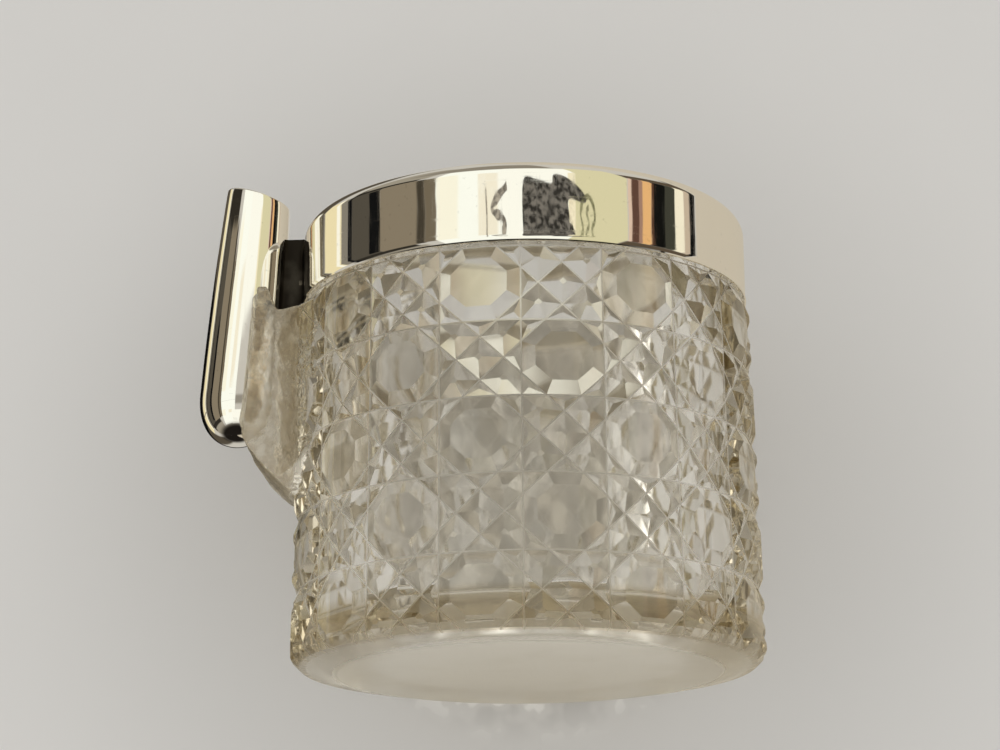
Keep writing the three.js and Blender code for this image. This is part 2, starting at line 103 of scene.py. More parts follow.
class CupSizes(bpy.types.PropertyGroup):
    """Sizes of the cut-glass cup."""

    shoulder_height: length("Shoulder height", "Height of the cut wall", 48.2 * MM)
    shoulder_radius: length("Shoulder radius", "Radius of the wall at its top", 29.4 * MM)
    wall_flare: length("Wall flare", "How much wider the wall is at its foot", 0.8 * MM)
    wall_start: length("Wall start", "Height where the cut wall starts", 1.8 * MM)
    foot_edge_radius: length("Foot edge radius", "Radius at the foot of the bevel", 29.0 * MM)
    foot_edge_height: length("Foot edge height", "Height at the foot of the bevel", 0.9 * MM)
    foot_radius: length("Foot radius", "Radius of the flat base", 24.2 * MM)
    neck_radius: length("Neck radius", "Radius of the ground neck", 27.0 * MM)
    neck_top: length("Neck top", "Height of the neck", glass_high.z)
    bore_radius: length("Bore radius", "Radius of the inside at the mouth", 20.4 * MM)
    bore_draft: length("Bore draft", "How much narrower the inside is at its floor", 0.2 * MM)
    bore_corner: length("Bore corner", "Rounding where the inside meets its floor", 0.7 * MM)
    floor_height: length("Floor height", "Thickness of the glass floor", 6.1 * MM)
    unevenness: length("Unevenness", "How far hand cutting strays from the drawing", 0.06 * MM)


class CutSizes(bpy.types.PropertyGroup):
    """Sizes of the cut pattern: plain eight-sided buttons and cross-cut squares."""

    column_pairs: IntProperty(
        name="Column pairs", description="Pairs of cut columns round the wall", default=9, min=3,
    )
    rows: IntProperty(name="Rows", description="Rows of cut cells", default=5, min=1)
    bottom_groove: length("Bottom groove", "Height of the lowest groove", 0.6 * MM)
    top_groove: length("Top groove", "Height of the highest groove", 47.7 * MM)
    depth: length("Groove depth", "Depth of a groove drawn to a sharp bottom", 0.75 * MM)
    half_width: length("Groove half width", "Half the width of a groove", 1.7 * MM)
    blunting: length("Groove blunting", "How far a groove stops above its sharp bottom", 0.04 * MM)
    corner_share: FloatProperty(
        name="Button corner", description="Share of a cell's side that a button's corner cuts off",
        default=0.29, min=0.05, max=0.5,
    )


class BossSizes(bpy.types.PropertyGroup):
    """Sizes of the glass boss that carries the side tube."""

    root_half_width: length("Root half width", "Half the boss's width at the wall", 12.3 * MM)
    lip_wall: length("Lip wall", "Glass beside the tube", 1.7 * MM)
    lip_length: length("Lip length", "Depth of the lip at its crest", 2.6 * MM)
    lip_setback: length("Lip setback", "How far the lip stands behind the tube's axis", 1.9 * MM)
    lip_rise: length("Lip rise", "How far the lip rises above the saddle", 3.2 * MM)
    corbel_height: length("Corbel height", "Height of the curved foot of the boss", 7.6 * MM)
    corbel_fullness: FloatProperty(
        name="Corbel fullness", description="0 is a straight slope, and more bulges",
        default=0.22, min=0.0,
    )
    shield_height: length("Shield height", "Height of the rounded point of the boss", 10.0 * MM)
    seat_gap: length("Seat gap", "Gap between the glass and the strap or tube", 0.3 * MM)
    softness: length("Edge softness", "Grain of the fire-polished edges", 0.22 * MM)
    lumps: length("Lumps", "How uneven the hand-ground surface is", 0.13 * MM)


class TubeSizes(bpy.types.PropertyGroup):
    """Sizes of the side tube, along its own leaning axis."""

    rim_radius: length("Rim radius", "Outer radius at the mouth", 4.25 * MM)
    belly_radius: length("Belly radius", "Outer radius at the foot of the barrel", 5.0 * MM)
    length: length("Length", "Length from the mouth to the closed end", 33.9 * MM)
    dome_length: length("Dome length", "Length of the closed end", 6.6 * MM)
    rim_height: length("Rim height", "Height of the mouth's middle", 64.15 * MM)
    rim_offset: length("Rim offset", "Distance of the mouth's middle from the pot's axis", 35.249 * MM)
    gauge: length("Gauge", "Thickness of the silver sheet", 0.5 * MM)
    fullness: FloatProperty(
        name="Dome fullness", description="2 is an ellipse, and more is fuller", default=2.2, min=1.5,
    )
    lean: angle("Lean", "How far the tube leans out at its foot", 4.7)
    rake: angle("Mouth rake", "How far the mouth slants up and away from the pot", 13.0)


class CollarSizes(bpy.types.PropertyGroup):
    """Sizes of the silver collar and the pieces inside it."""

    radius: length("Radius", "Outer radius", band_high.x)
    bottom: length("Bottom", "Height of the lower edge, close over the glass", band_low.z - 0.22 * MM)
    top: length("Top", "Height of the flat top", band_high.z)
    rounding: length("Rounding", "Radius of the shoulder", 1.8 * MM)
    flare: length("Flare", "How far the lower edge is turned out", 0.09 * MM)
    flare_height: length("Flare height", "Height over which the lower edge turns out", 0.9 * MM)
    gauge: length("Gauge", "Thickness of the silver sheet", 0.5 * MM)
    bead: length("Bead", "Thickness of the rolled mouth", 0.6 * MM)
    sleeve_radius: length("Sleeve radius", "Outer radius of the sleeve", sleeve_high.x)
    sleeve_bottom: length("Sleeve bottom", "Height of the sleeve's lower edge", sleeve_low.z)
    fillet: length("Solder fillet", "How far solder runs out beside the strap", 0.7 * MM)


class Finishes(bpy.types.PropertyGroup):
    """Colours of the pieces."""

    glass: colour("Glass", "Tint of a thin piece of the glass", (0.98, 0.975, 0.96, 1.0))
    deep_glass: colour("Deep glass", "Tint of thick glass", (0.90, 0.868, 0.785, 1.0))
    silver: colour("Silver", "Polished silver", (0.955, 0.925, 0.865, 1.0))
    # Real tarnish in the silver's random patches, and painted shade on the strap in the dark gap between
    # collar and tube
    tarnish_and_gap_shade: colour("Tarnish", "Silver where a cloth doesn't reach", (0.016, 0.013, 0.010, 1.0))
    plaster: colour("Plaster", "Plaster that beds the collar", (0.72, 0.66, 0.54, 1.0))


class ViewSettings(bpy.types.PropertyGroup):
    """The camera's place and the plain surfaces round the pot."""

    position: FloatVectorProperty(
        name="Position", description="Place of the camera", size=3, subtype="XYZ", unit="LENGTH",
        default=(4.779 * MM, -329.547 * MM, -53.579 * MM),
    )
    pitch: angle("Pitch", "How far the camera looks up", 15.769)
    turn: angle("Turn", "How far the camera is turned about the pot's axis", 1.4)
    roll: angle("Roll", "How far the camera is rolled", -0.505)
    lens: FloatProperty(name="Lens", description="Focal length in mm on a 36 mm sensor", default=94.32)
    surface: colour("Surface", "The pale surface", (0.80, 0.785, 0.765, 1.0))


SETTINGS = {
    "pot_cup": CupSizes,
    "pot_cut": CutSizes,
    "pot_boss": BossSizes,
    "pot_tube": TubeSizes,
    "pot_collar": CollarSizes,
    "pot_finishes": Finishes,
    "pot_view": ViewSettings,
}


# Meshes


def make_piece(name, vertices, faces):
    """A new mesh object in the scene."""
    mesh = bpy.data.meshes.new(name)
    mesh.from_pydata(vertices, [], faces)
    piece = bpy.data.objects.new(name, mesh)
    bpy.context.scene.collection.objects.link(piece)
    return piece


def tidy_mesh(piece, crease):
    """Joins doubled corners, turns faces out and keeps edges sharper than crease as sharp."""
    mesh = bmesh.new()
    mesh.from_mesh(piece.data)
    bmesh.ops.remove_doubles(mesh, verts=mesh.verts, dist=1e-6)
    bmesh.ops.dissolve_degenerate(mesh, dist=1e-7, edges=mesh.edges)
    bmesh.ops.recalc_face_normals(mesh, faces=mesh.faces)
    for face in mesh.faces:
        face.smooth = True
    for edge in mesh.edges:
        edge.smooth = len(edge.link_faces) == 2 and edge.calc_face_angle(0.0) < crease
    mesh.to_mesh(piece.data)
    mesh.free()


def apply_modifiers(piece):
    """Keeps what the piece's modifiers make as its own mesh."""
    shown = piece.evaluated_get(bpy.context.evaluated_depsgraph_get())
    mesh = bpy.data.meshes.new_from_object(shown)
    old = piece.data
    piece.modifiers.clear()
    piece.data = mesh
    bpy.data.meshes.remove(old)


def check_closed(piece):
    """Stops the script if a piece isn't one closed surface."""
    mesh = bmesh.new()
    mesh.from_mesh(piece.data)
    gaps = sum(len(edge.link_faces) != 2 for edge in mesh.edges)
    mesh.free()
    if gaps:
        raise RuntimeError(f"{piece.name} has {gaps} open edges")


def combine(piece, other, operation):
    """Joins, cuts or meets a piece with another, which is used up."""
    check_closed(piece)
    check_closed(other)
    modifier = piece.modifiers.new("combine", "BOOLEAN")
    modifier.solver = "MANIFOLD"
    modifier.operation = operation
    modifier.object = other
    apply_modifiers(piece)
    mesh = other.data
    bpy.data.objects.remove(other)
    bpy.data.meshes.remove(mesh)
    if not piece.data.polygons:
        raise RuntimeError(f"{piece.name} has nothing left after {operation}")


def lathe(profile, segments, ring):
    """Vertices and faces of (radius, height) points turned about Z.

    A ring's profile closes on itself. Otherwise it starts and ends on the axis.
    """
    vertices, rows = [], []
    for radius, height in profile:
        if radius < 1e-9:
            rows.append([len(vertices)] * segments)
            vertices.append((0.0, 0.0, height))
            continue
        rows.append([len(vertices) + i for i in range(segments)])
        for i in range(segments):
            turn = 2 * math.pi * i / segments
            vertices.append((radius * math.cos(turn), radius * math.sin(turn), height))
    if ring:
        rows.append(rows[0])
    faces = []
    for low, high in zip(rows, rows[1:]):
        for i in range(segments):
            j = (i + 1) % segments
            corners = dict.fromkeys((low[i], low[j], high[j], high[i]))
            if len(corners) > 2:
                faces.append(tuple(corners))
    return vertices, faces


def arc(centre, radius, start, end, steps):
    """Points of a circular arc between two angles in degrees, both ends included."""
    points = []
    for i in range(steps + 1):
        turn = math.radians(start + (end - start) * i / steps)
        points.append((centre[0] + radius * math.cos(turn), centre[1] + radius * math.sin(turn)))
    return points


def bow(start, middle, end, steps):
    """Points of a curve that leaves start toward middle and reaches end from it, both ends included."""
    points = []
    for i in range(steps + 1):
        t = i / steps
        weights = ((1 - t) ** 2, 2 * t * (1 - t), t * t)
        points.append(tuple(sum(w * p[k] for w, p in zip(weights, (start, middle, end))) for k in (0, 1)))
    return points


def prism(name, outline, low, high, place):
    """A closed solid between two copies of an outline. place turns (across, along, depth) into XYZ."""
    count = len(outline)
    vertices = [place(a, b, low) for a, b in outline] + [place(a, b, high) for a, b in outline]
    faces = [tuple(range(count)), tuple(range(count, 2 * count))]
    for i in range(count):
        j = (i + 1) % count
        faces.append((i, j, count + j, count + i))
    piece = make_piece(name, vertices, faces)
    tidy_mesh(piece, PRISM_CREASE)
    return piece


# Cut pattern

# What counts as no distance and no area on the unrolled pattern, and how many strips a cell is cut
# into so that its facets follow the round wall
NOTHING = 1e-9
LEAST_AREA = 1e-7
STRIPS = 8


def clip(polygon, value):
    """The part of a polygon where a linear function of its corners isn't negative."""
    kept = []
    for here, there in zip(polygon, polygon[1:] + polygon[:1]):
        a, b = (0.0 if abs(v) < NOTHING else v for v in (value(here), value(there)))
        if a >= 0:
            kept.append(here)
        if a * b < 0:
            share = a / (a - b)
            kept.append(tuple(p + (q - p) * share for p, q in zip(here, there)))
    return kept


def area(polygon):
    """Signed area of a polygon in its first two coordinates."""
    pairs = zip(polygon, polygon[1:] + polygon[:1])
    return sum(a[0] * b[1] - b[0] * a[1] for a, b in pairs) / 2


def solid_enough(polygon):
    """True for a polygon that is more than a sliver."""
    return len(polygon) > 2 and area(polygon) > LEAST_AREA


class Pattern:
    """The cut pattern, unrolled. A corner is (column, row, depth), and a cell is one unit square."""

    def __init__(self, cup, cut):
        self.cup, self.cut = cup, cut
        self.columns = 2 * cut.column_pairs
        self.column_angle = 2 * math.pi / self.columns
        self.row_height = (cut.top_groove - cut.bottom_groove) / cut.rows
        self.cell_width = self.column_angle * (cup.shoulder_radius + cup.wall_flare / 2)
        self.span = 1 / math.hypot(1 / self.cell_width, 1 / self.row_height)
        self.slope = cut.depth / cut.half_width

    def straight_grooves(self):
        """Distances from the grooves along a cell's four sides."""
        width, height = self.cell_width, self.row_height
        return [
            lambda p: p[0] * width,
            lambda p: (p[0] - 1) * width,
            lambda p: p[1] * height,
            lambda p: (p[1] - 1) * height,
        ]

    def slanting_grooves(self, is_button):
        """Distances from the grooves that slant across a cell."""
        leg = self.cut.corner_share
        sums = (leg, 2 - leg) if is_button else (1 - leg, 1 + leg)
        differences = (leg - 1, 1 - leg) if is_button else (-leg, leg)
        rising = [lambda p, s=s: (p[0] + p[1] - s) * self.span for s in sums]
        falling = [lambda p, d=d: (p[0] - p[1] - d) * self.span for d in differences]
        return rising + falling

    def facets(self, is_button):
        """All facets of one cell."""
        slanting = self.slanting_grooves(is_button)
        grooves = self.straight_grooves() + slanting
        regions = [[(0.0, 0.0), (1.0, 0.0), (1.0, 1.0), (0.0, 1.0)]]
        for distance in slanting:
            sides = []
            for region in regions:
                sides.append(clip(region, distance))
                sides.append(clip(region, lambda p: -distance(p)))
            regions = [side for side in sides if solid_enough(side)]
        return [facet for region in regions for facet in self.region_facets(region, grooves)]

    def region_facets(self, region, grooves):
        """Facets of one region between grooves: their flanks, blunt bottoms and the uncut wall."""
        middle = [sum(p[axis] for p in region) / len(region) for axis in (0, 1)]
        surfaces = [lambda p: 0.0]
        for distance in grooves:
            side = math.copysign(1.0, distance(middle))
            surfaces.append(
                lambda p, side=side, distance=distance:
                self.cut.depth - self.slope * side * distance(p)
            )
        bottom = self.cut.depth - self.cut.blunting
        made = []
        for surface in surfaces:
            facet = region
            for other in surfaces:
                if other is not surface:
                    facet = clip(facet, lambda p: surface(p) - other(p))
            if not solid_enough(facet):
                continue
            facet = [(p[0], p[1], max(0.0, surface(p))) for p in facet]
            flank = clip(facet, lambda p: bottom - p[2])
            blunt = [(p[0], p[1], bottom) for p in clip(facet, lambda p: p[2] - bottom)]
            made += [polygon for polygon in (flank, blunt) if solid_enough(polygon)]
        return made

    def strips(self, facet):
        """A placed facet in strips narrow enough to follow the round wall."""
        first = math.floor(min(p[0] for p in facet) * STRIPS + NOTHING)
        last = math.ceil(max(p[0] for p in facet) * STRIPS - NOTHING)
        for i in range(first, last):
            strip = clip(facet, lambda p: p[0] - i / STRIPS)
            strip = clip(strip, lambda p: (i + 1) / STRIPS - p[0]) if strip else strip
            if solid_enough(strip):
                yield strip

    def row_of(self, height):
        """The row, as a fraction, at a height."""
        return (height - self.cut.bottom_groove) / self.row_height

    def wall_radius(self, height):
        """Radius of the uncut wall at a height."""
        cup = self.cup
        share = (cup.shoulder_height - height) / cup.shoulder_height
        return cup.shoulder_radius + cup.wall_flare * share

    def point(self, corner):
        """The place on the wall of a pattern corner."""
        column, row, depth = corner
        turn = FRONT + column * self.column_angle
        height = self.cut.bottom_groove + row * self.row_height
        radius = self.wall_radius(height) - depth
        return Vector((radius * math.cos(turn), radius * math.sin(turn), height))

    def ring_point(self, column, radius, height):
        """A point on a plain ring under a column."""
        turn = FRONT + column * self.column_angle
        return Vector((radius * math.cos(turn), radius * math.sin(turn), height))


def wander(point, cup):
    """How far hand cutting moves a point of the wall: nothing at its foot and shoulder."""
    foot_fade, shoulder_fade, grain = 2 * MM, 1 * MM, 7 * MM
    fade = min(1.0, max(0.0, point.z - cup.wall_start) / foot_fade)
    fade *= min(1.0, max(0.0, cup.shoulder_height - point.z) / shoulder_fade)
    return noise.noise_vector(point / grain) * cup.unevenness * fade


def make_cut_wall(cup, cut):
    """The cut wall as a closed solid, with its foot below and a flat disc on top."""
    pattern = Pattern(cup, cut)
    cells = {True: pattern.facets(True), False: pattern.facets(False)}
    lowest, highest = pattern.row_of(cup.wall_start), pattern.row_of(cup.shoulder_height)
    vertices, faces = [], []

    def add_face(corners):
        faces.append(tuple(range(len(vertices), len(vertices) + len(corners))))
        vertices.extend(corners)

    for column in range(pattern.columns):
        foot, top = [], []
        for row in range(cut.rows + 1):
            for facet in cells[(column + row) % 2 == cut.rows % 2]:
                placed = [(column + p[0], row + p[1], p[2]) for p in facet]
                for strip in pattern.strips(placed):
                    strip = clip(strip, lambda p: p[1] - lowest)
                    strip = clip(strip, lambda p: highest - p[1]) if strip else strip
                    if not solid_enough(strip):
                        continue
                    foot += [p for p in strip if abs(p[1] - lowest) < NOTHING]
                    top += [p for p in strip if abs(p[1] - highest) < NOTHING]
                    corners = [pattern.point(p) for p in strip]
                    add_face([p + wander(p, cup) for p in corners])
        close_foot(pattern, foot, add_face)
        close_top(pattern, top, add_face)
    piece = make_piece("cut_wall", vertices, faces)
    tidy_mesh(piece, FACET_CREASE)
    return piece


def in_order(rim):
    """Rim corners from the first column to the last, each once."""
    ordered = sorted(rim)
    return [p for i, p in enumerate(ordered) if i == 0 or p[0] - ordered[i - 1][0] > LEAST_AREA]


def close_foot(pattern, rim, add_face):
    """The bevel, the sloped underside and the flat base under one column."""
    cup = pattern.cup
    rim = in_order(rim)
    rings = [
        [pattern.point(p) for p in rim],
        [pattern.ring_point(p[0], cup.foot_edge_radius, cup.foot_edge_height) for p in rim],
        [pattern.ring_point(p[0], cup.foot_radius, 0.0) for p in rim],
    ]
    for upper, lower in zip(rings, rings[1:]):
        for i in range(len(rim) - 1):
            add_face([upper[i], lower[i], lower[i + 1], upper[i + 1]])
    for i in range(len(rim) - 1):
        add_face([rings[-1][i], Vector((0, 0, 0)), rings[-1][i + 1]])


def close_top(pattern, rim, add_face):
    """The flat disc over one column."""
    ring = [pattern.point(p) for p in in_order(rim)]
    centre = Vector((0, 0, pattern.cup.shoulder_height))
    for here, there in zip(ring, ring[1:]):
        add_face([here, there, centre])


# Side tube forms


def barrel_length(tube):
    """Length of the tube without its domed end."""
    return tube.length - tube.dome_length


def barrel_radius(tube, reach):
    """Outer radius of the barrel at a distance below its rim."""
    left = 1 - reach / barrel_length(tube)
    return tube.belly_radius - (tube.belly_radius - tube.rim_radius) * left * left


def dome_outline(tube, grow, steps):
    """(radius, height) points of the domed end, from its tip to just below its seam."""
    points = []
    for i in range(steps):
        turn = math.pi / 2 * i / steps
        across = math.sin(turn) ** (2 / tube.fullness)
        along = math.cos(turn) ** (2 / tube.fullness)
        points.append((
            (tube.belly_radius + grow) * across,
            -barrel_length(tube) - (tube.dome_length + grow) * along,
        ))
    return points


def barrel_outline(tube, grow, steps):
    """(radius, height) points of the barrel, from its seam to its rim."""
    reaches = [barrel_length(tube) * (1 - i / steps) for i in range(steps + 1)]
    return [(barrel_radius(tube, reach) + grow, -reach) for reach in reaches]


def tube_place(tube):
    """Where the tube's own axis stands: its rim is at the origin of this matrix."""
    move = Matrix.Translation((-tube.rim_offset, 0.0, tube.rim_height))
    return move @ Matrix.Rotation(tube.lean, 4, "Y")


def tube_axis(tube, height):
    """X of the tube's axis at a height."""
    return -tube.rim_offset - math.tan(tube.lean) * (tube.rim_height - height)


def make_tube_cutter(tube, grow):
    """The tube's outer form, grown by a gap, for cutting its channel."""
    profile = [*dome_outline(tube, grow, 24), *barrel_outline(tube, grow, 24), (0.0, 0.0)]
    piece = make_piece("tube_cutter", *lathe(profile, 120, ring=False))
    piece.data.transform(tube_place(tube))
    tidy_mesh(piece, PRISM_CREASE)
    return piece


def make_boss(cup, boss, tube):
    """The boss: the meeting of a plan, a side view and a shield, with fire-polished edges."""
    overcut = 1 * MM
    saddle = strap_low.z - boss.seat_gap
    lip_top = saddle + boss.lip_rise
    tube_bottom = tube.rim_height - tube.length * math.cos(tube.lean)
    lip_bottom = tube_bottom - boss.seat_gap
    lip_half = tube.belly_radius + boss.seat_gap + boss.lip_wall
    lip_foot = tube_axis(tube, lip_bottom) + boss.lip_setback
    lip_crest = tube_axis(tube, lip_top) + boss.lip_setback
    corbel = lip_bottom - boss.corbel_height
    inside = -cup.bore_radius
    root = -math.sqrt(cup.shoulder_radius ** 2 - boss.root_half_width ** 2)
    neck = lip_crest + boss.lip_length / 2

    sweep = bow((root, boss.root_half_width), ((root + neck) / 2, lip_half), (neck, lip_half), 16)
    half = [(inside, boss.root_half_width), *sweep, (lip_foot - overcut, lip_half)]
    plan = half + [(x, -y) for x, y in reversed(half)]
    boss_piece = prism(
        "glass_boss", plan, corbel - overcut, lip_top + overcut, lambda x, y, z: (x, y, z)
    )

    side = [
        (inside, saddle),
        (lip_crest + boss.lip_length, saddle),
        (lip_crest + boss.lip_length / 2, lip_top),
        (lip_crest, lip_top),
    ]
    start, end = (lip_foot, lip_bottom), (-cup.shoulder_radius, corbel)
    corner = (lip_foot, corbel)
    bulge = tuple(
        (a + b) / 2 + (c - (a + b) / 2) * boss.corbel_fullness for a, b, c in zip(start, end, corner))
    side += bow(start, bulge, end, 24)
    side.append((inside, corbel))
    across = boss.root_half_width + overcut
    combine(boss_piece, prism("side", side, -across, across, lambda x, z, y: (x, y, z)), "INTERSECT")

    shield = [(-boss.root_half_width, lip_top + overcut)]
    for x, y in arc((0, 0), 1, 180, 360, 48):
        shield.append((boss.root_half_width * x, corbel + boss.shield_height * (1 + y)))
    shield.append((boss.root_half_width, lip_top + overcut))
    front = prism("shield", shield, lip_foot - overcut, inside + overcut, lambda y, z, x: (x, y, z))
    combine(boss_piece, front, "INTERSECT")
    combine(boss_piece, make_tube_cutter(tube, boss.seat_gap), "DIFFERENCE")

    remesh = boss_piece.modifiers.new("edges", "REMESH")
    remesh.mode = "VOXEL"
    remesh.voxel_size = boss.softness
    polish = boss_piece.modifiers.new("polish", "SMOOTH")
    polish.factor = 0.5
    polish.iterations = 10
    apply_modifiers(boss_piece)
    coarse_grain, fine_grain, fine_share = 2.6 * MM, 0.9 * MM, 0.45
    for vertex in boss_piece.data.vertices:
        coarse = noise.noise_vector(vertex.co / coarse_grain)
        fine = noise.noise_vector(vertex.co / fine_grain)
        vertex.co += coarse * boss.lumps + fine * boss.lumps * fine_share
    return boss_piece


def make_neck(cup):
    """The ground neck inside the collar, started inside the cup."""
    chamfer = 0.3 * MM
    profile = [
        (0.0, cup.floor_height),
        (cup.neck_radius, cup.floor_height),
        (cup.neck_radius, cup.neck_top - chamfer),
        (cup.neck_radius - chamfer, cup.neck_top),
        (0.0, cup.neck_top),
    ]
    return make_piece("neck", *lathe(profile, 240, ring=False))


def make_bore(cup):
    """The inside of the cup, which runs on past its mouth."""
    overcut = 1 * MM
    floor_radius = cup.bore_radius - cup.bore_draft
    centre = (floor_radius - cup.bore_corner, cup.floor_height + cup.bore_corner)
    profile = [
        (0.0, cup.floor_height),
        *arc(centre, cup.bore_corner, -90, 0, 16),
        (cup.bore_radius, cup.neck_top),
        (cup.bore_radius, cup.neck_top + overcut),
        (0.0, cup.neck_top + overcut),
    ]
    return make_piece("bore", *lathe(profile, 240, ring=False))


# Materials


def add_node(tree, kind, settings=None, values=None):
    """A new shader node. values holds constants or sockets, by input name or index."""
    made = tree.nodes.new("ShaderNode" + kind)
    for name, value in (settings or {}).items():
        setattr(made, name, value)
    for name, value in (values or {}).items():
        if isinstance(value, bpy.types.NodeSocket):
            tree.links.new(value, made.inputs[name])
        else:
            made.inputs[name].default_value = value
    return made


def math_node(tree, operation, *values):
    """The result of a Math node."""
    made = add_node(tree, "Math", {"operation": operation}, dict(enumerate(values)))
    return made.outputs[0]


def mixed(tree, factor, first, second):
    """The colour between two colours."""
    made = add_node(tree, "Mix", {"data_type": "RGBA"}, {0: factor, 6: first, 7: second})
    return made.outputs[2]


def ranged(tree, value, low, high, to_low, to_high):
    """A value carried smoothly from one range to another."""
    made = add_node(
        tree, "MapRange", {"interpolation_type": "SMOOTHSTEP"},
        {"Value": value, "From Min": low, "From Max": high, "To Min": to_low, "To Max": to_high},
    )
    return made.outputs[0]


def new_group(name, inputs, outputs):
    """An empty shader node group with float inputs and outputs."""
    group = bpy.data.node_groups.new(name, "ShaderNodeTree")
    for label, default in inputs.items():
        socket = group.interface.new_socket(label, in_out="INPUT", socket_type="NodeSocketFloat")
        socket.default_value = default
    for label in outputs:
        group.interface.new_socket(label, in_out="OUTPUT", socket_type="NodeSocketFloat")
    return group, group.nodes.new("NodeGroupInput").outputs, group.nodes.new("NodeGroupOutput").inputs


def hand_polish_group():
    """Fine crossing hairlines left by years of polishing, and the slow waviness of a hand-made wall."""
    name = "hand polish"
    if name in bpy.data.node_groups:
        return bpy.data.node_groups[name]
    group, given, made = new_group(
        name, {"Hairline Scale": 60.0, "Wave Scale": 90.0, "Seed": 0.0}, ("Hairlines", "Waves"),
    )
    place = add_node(group, "TexCoord").outputs["Object"]
    total = None
    for turn, stretch in ((0.3, (1.0, 1.0, 30.0)), (1.1, (30.0, 1.0, 1.0)), (2.0, (1.0, 30.0, 2.0))):
        turned = add_node(group, "Mapping", None, {
            "Vector": place, "Rotation": (turn, turn * 0.7, turn * 1.3), "Scale": stretch,
        }).outputs[0]
        lines = add_node(group, "TexNoise", {"noise_dimensions": "4D"}, {
            "Vector": turned, "W": given["Seed"], "Scale": given["Hairline Scale"],
            "Detail": 3.0, "Roughness": 0.6,
        }).outputs[0]
        fine = ranged(group, lines, 0.56, 0.66, 0.0, 1.0)
        total = fine if total is None else math_node(group, "MAXIMUM", total, fine)
    group.links.new(total, made["Hairlines"])
    waves = add_node(group, "TexNoise", {"noise_dimensions": "4D"}, {
        "Vector": place, "W": given["Seed"], "Scale": given["Wave Scale"], "Detail": 1.0,
    }).outputs[0]
    group.links.new(waves, made["Waves"])
    return group


def handling_group():
    """Soft patches where fingers or years have dulled a surface."""
    name = "handling"
    if name in bpy.data.node_groups:
        return bpy.data.node_groups[name]
    group, given, made = new_group(
        name, {"Patch Scale": 60.0, "Speck Scale": 900.0, "Seed": 0.0}, ("Patches", "Specks"),
    )
    place = add_node(group, "TexCoord").outputs["Object"]
    patches = add_node(group, "TexNoise", {"noise_dimensions": "4D"}, {
        "Vector": place, "W": given["Seed"], "Scale": given["Patch Scale"], "Detail": 5.0,
    }).outputs[0]
    group.links.new(ranged(group, patches, 0.48, 0.72, 0.0, 1.0), made["Patches"])
    specks = add_node(group, "TexNoise", {"noise_dimensions": "4D"}, {
        "Vector": place, "W": given["Seed"], "Scale": given["Speck Scale"], "Detail": 2.0,
    }).outputs[0]
    group.links.new(ranged(group, specks, 0.66, 0.74, 0.0, 1.0), made["Specks"])
    return group


def place_group(tree, group, **values):
    """A node group placed in a material with its own values."""
    named = {key.replace("_", " ").title(): value for key, value in values.items()}
    made = add_node(tree, "Group", {"node_tree": group}, None)
    for label, value in named.items():
        made.inputs[label].default_value = value
    return made.outputs


def new_material(name):
    """An empty material and its node tree, surface shader and output."""
    material = bpy.data.materials.new(name)
    material.use_nodes = True
    tree = material.node_tree
    shader = next(n for n in tree.nodes if n.type == "BSDF_PRINCIPLED")
    output = next(n for n in tree.nodes if n.type == "OUTPUT_MATERIAL")
    return material, tree, shader, output


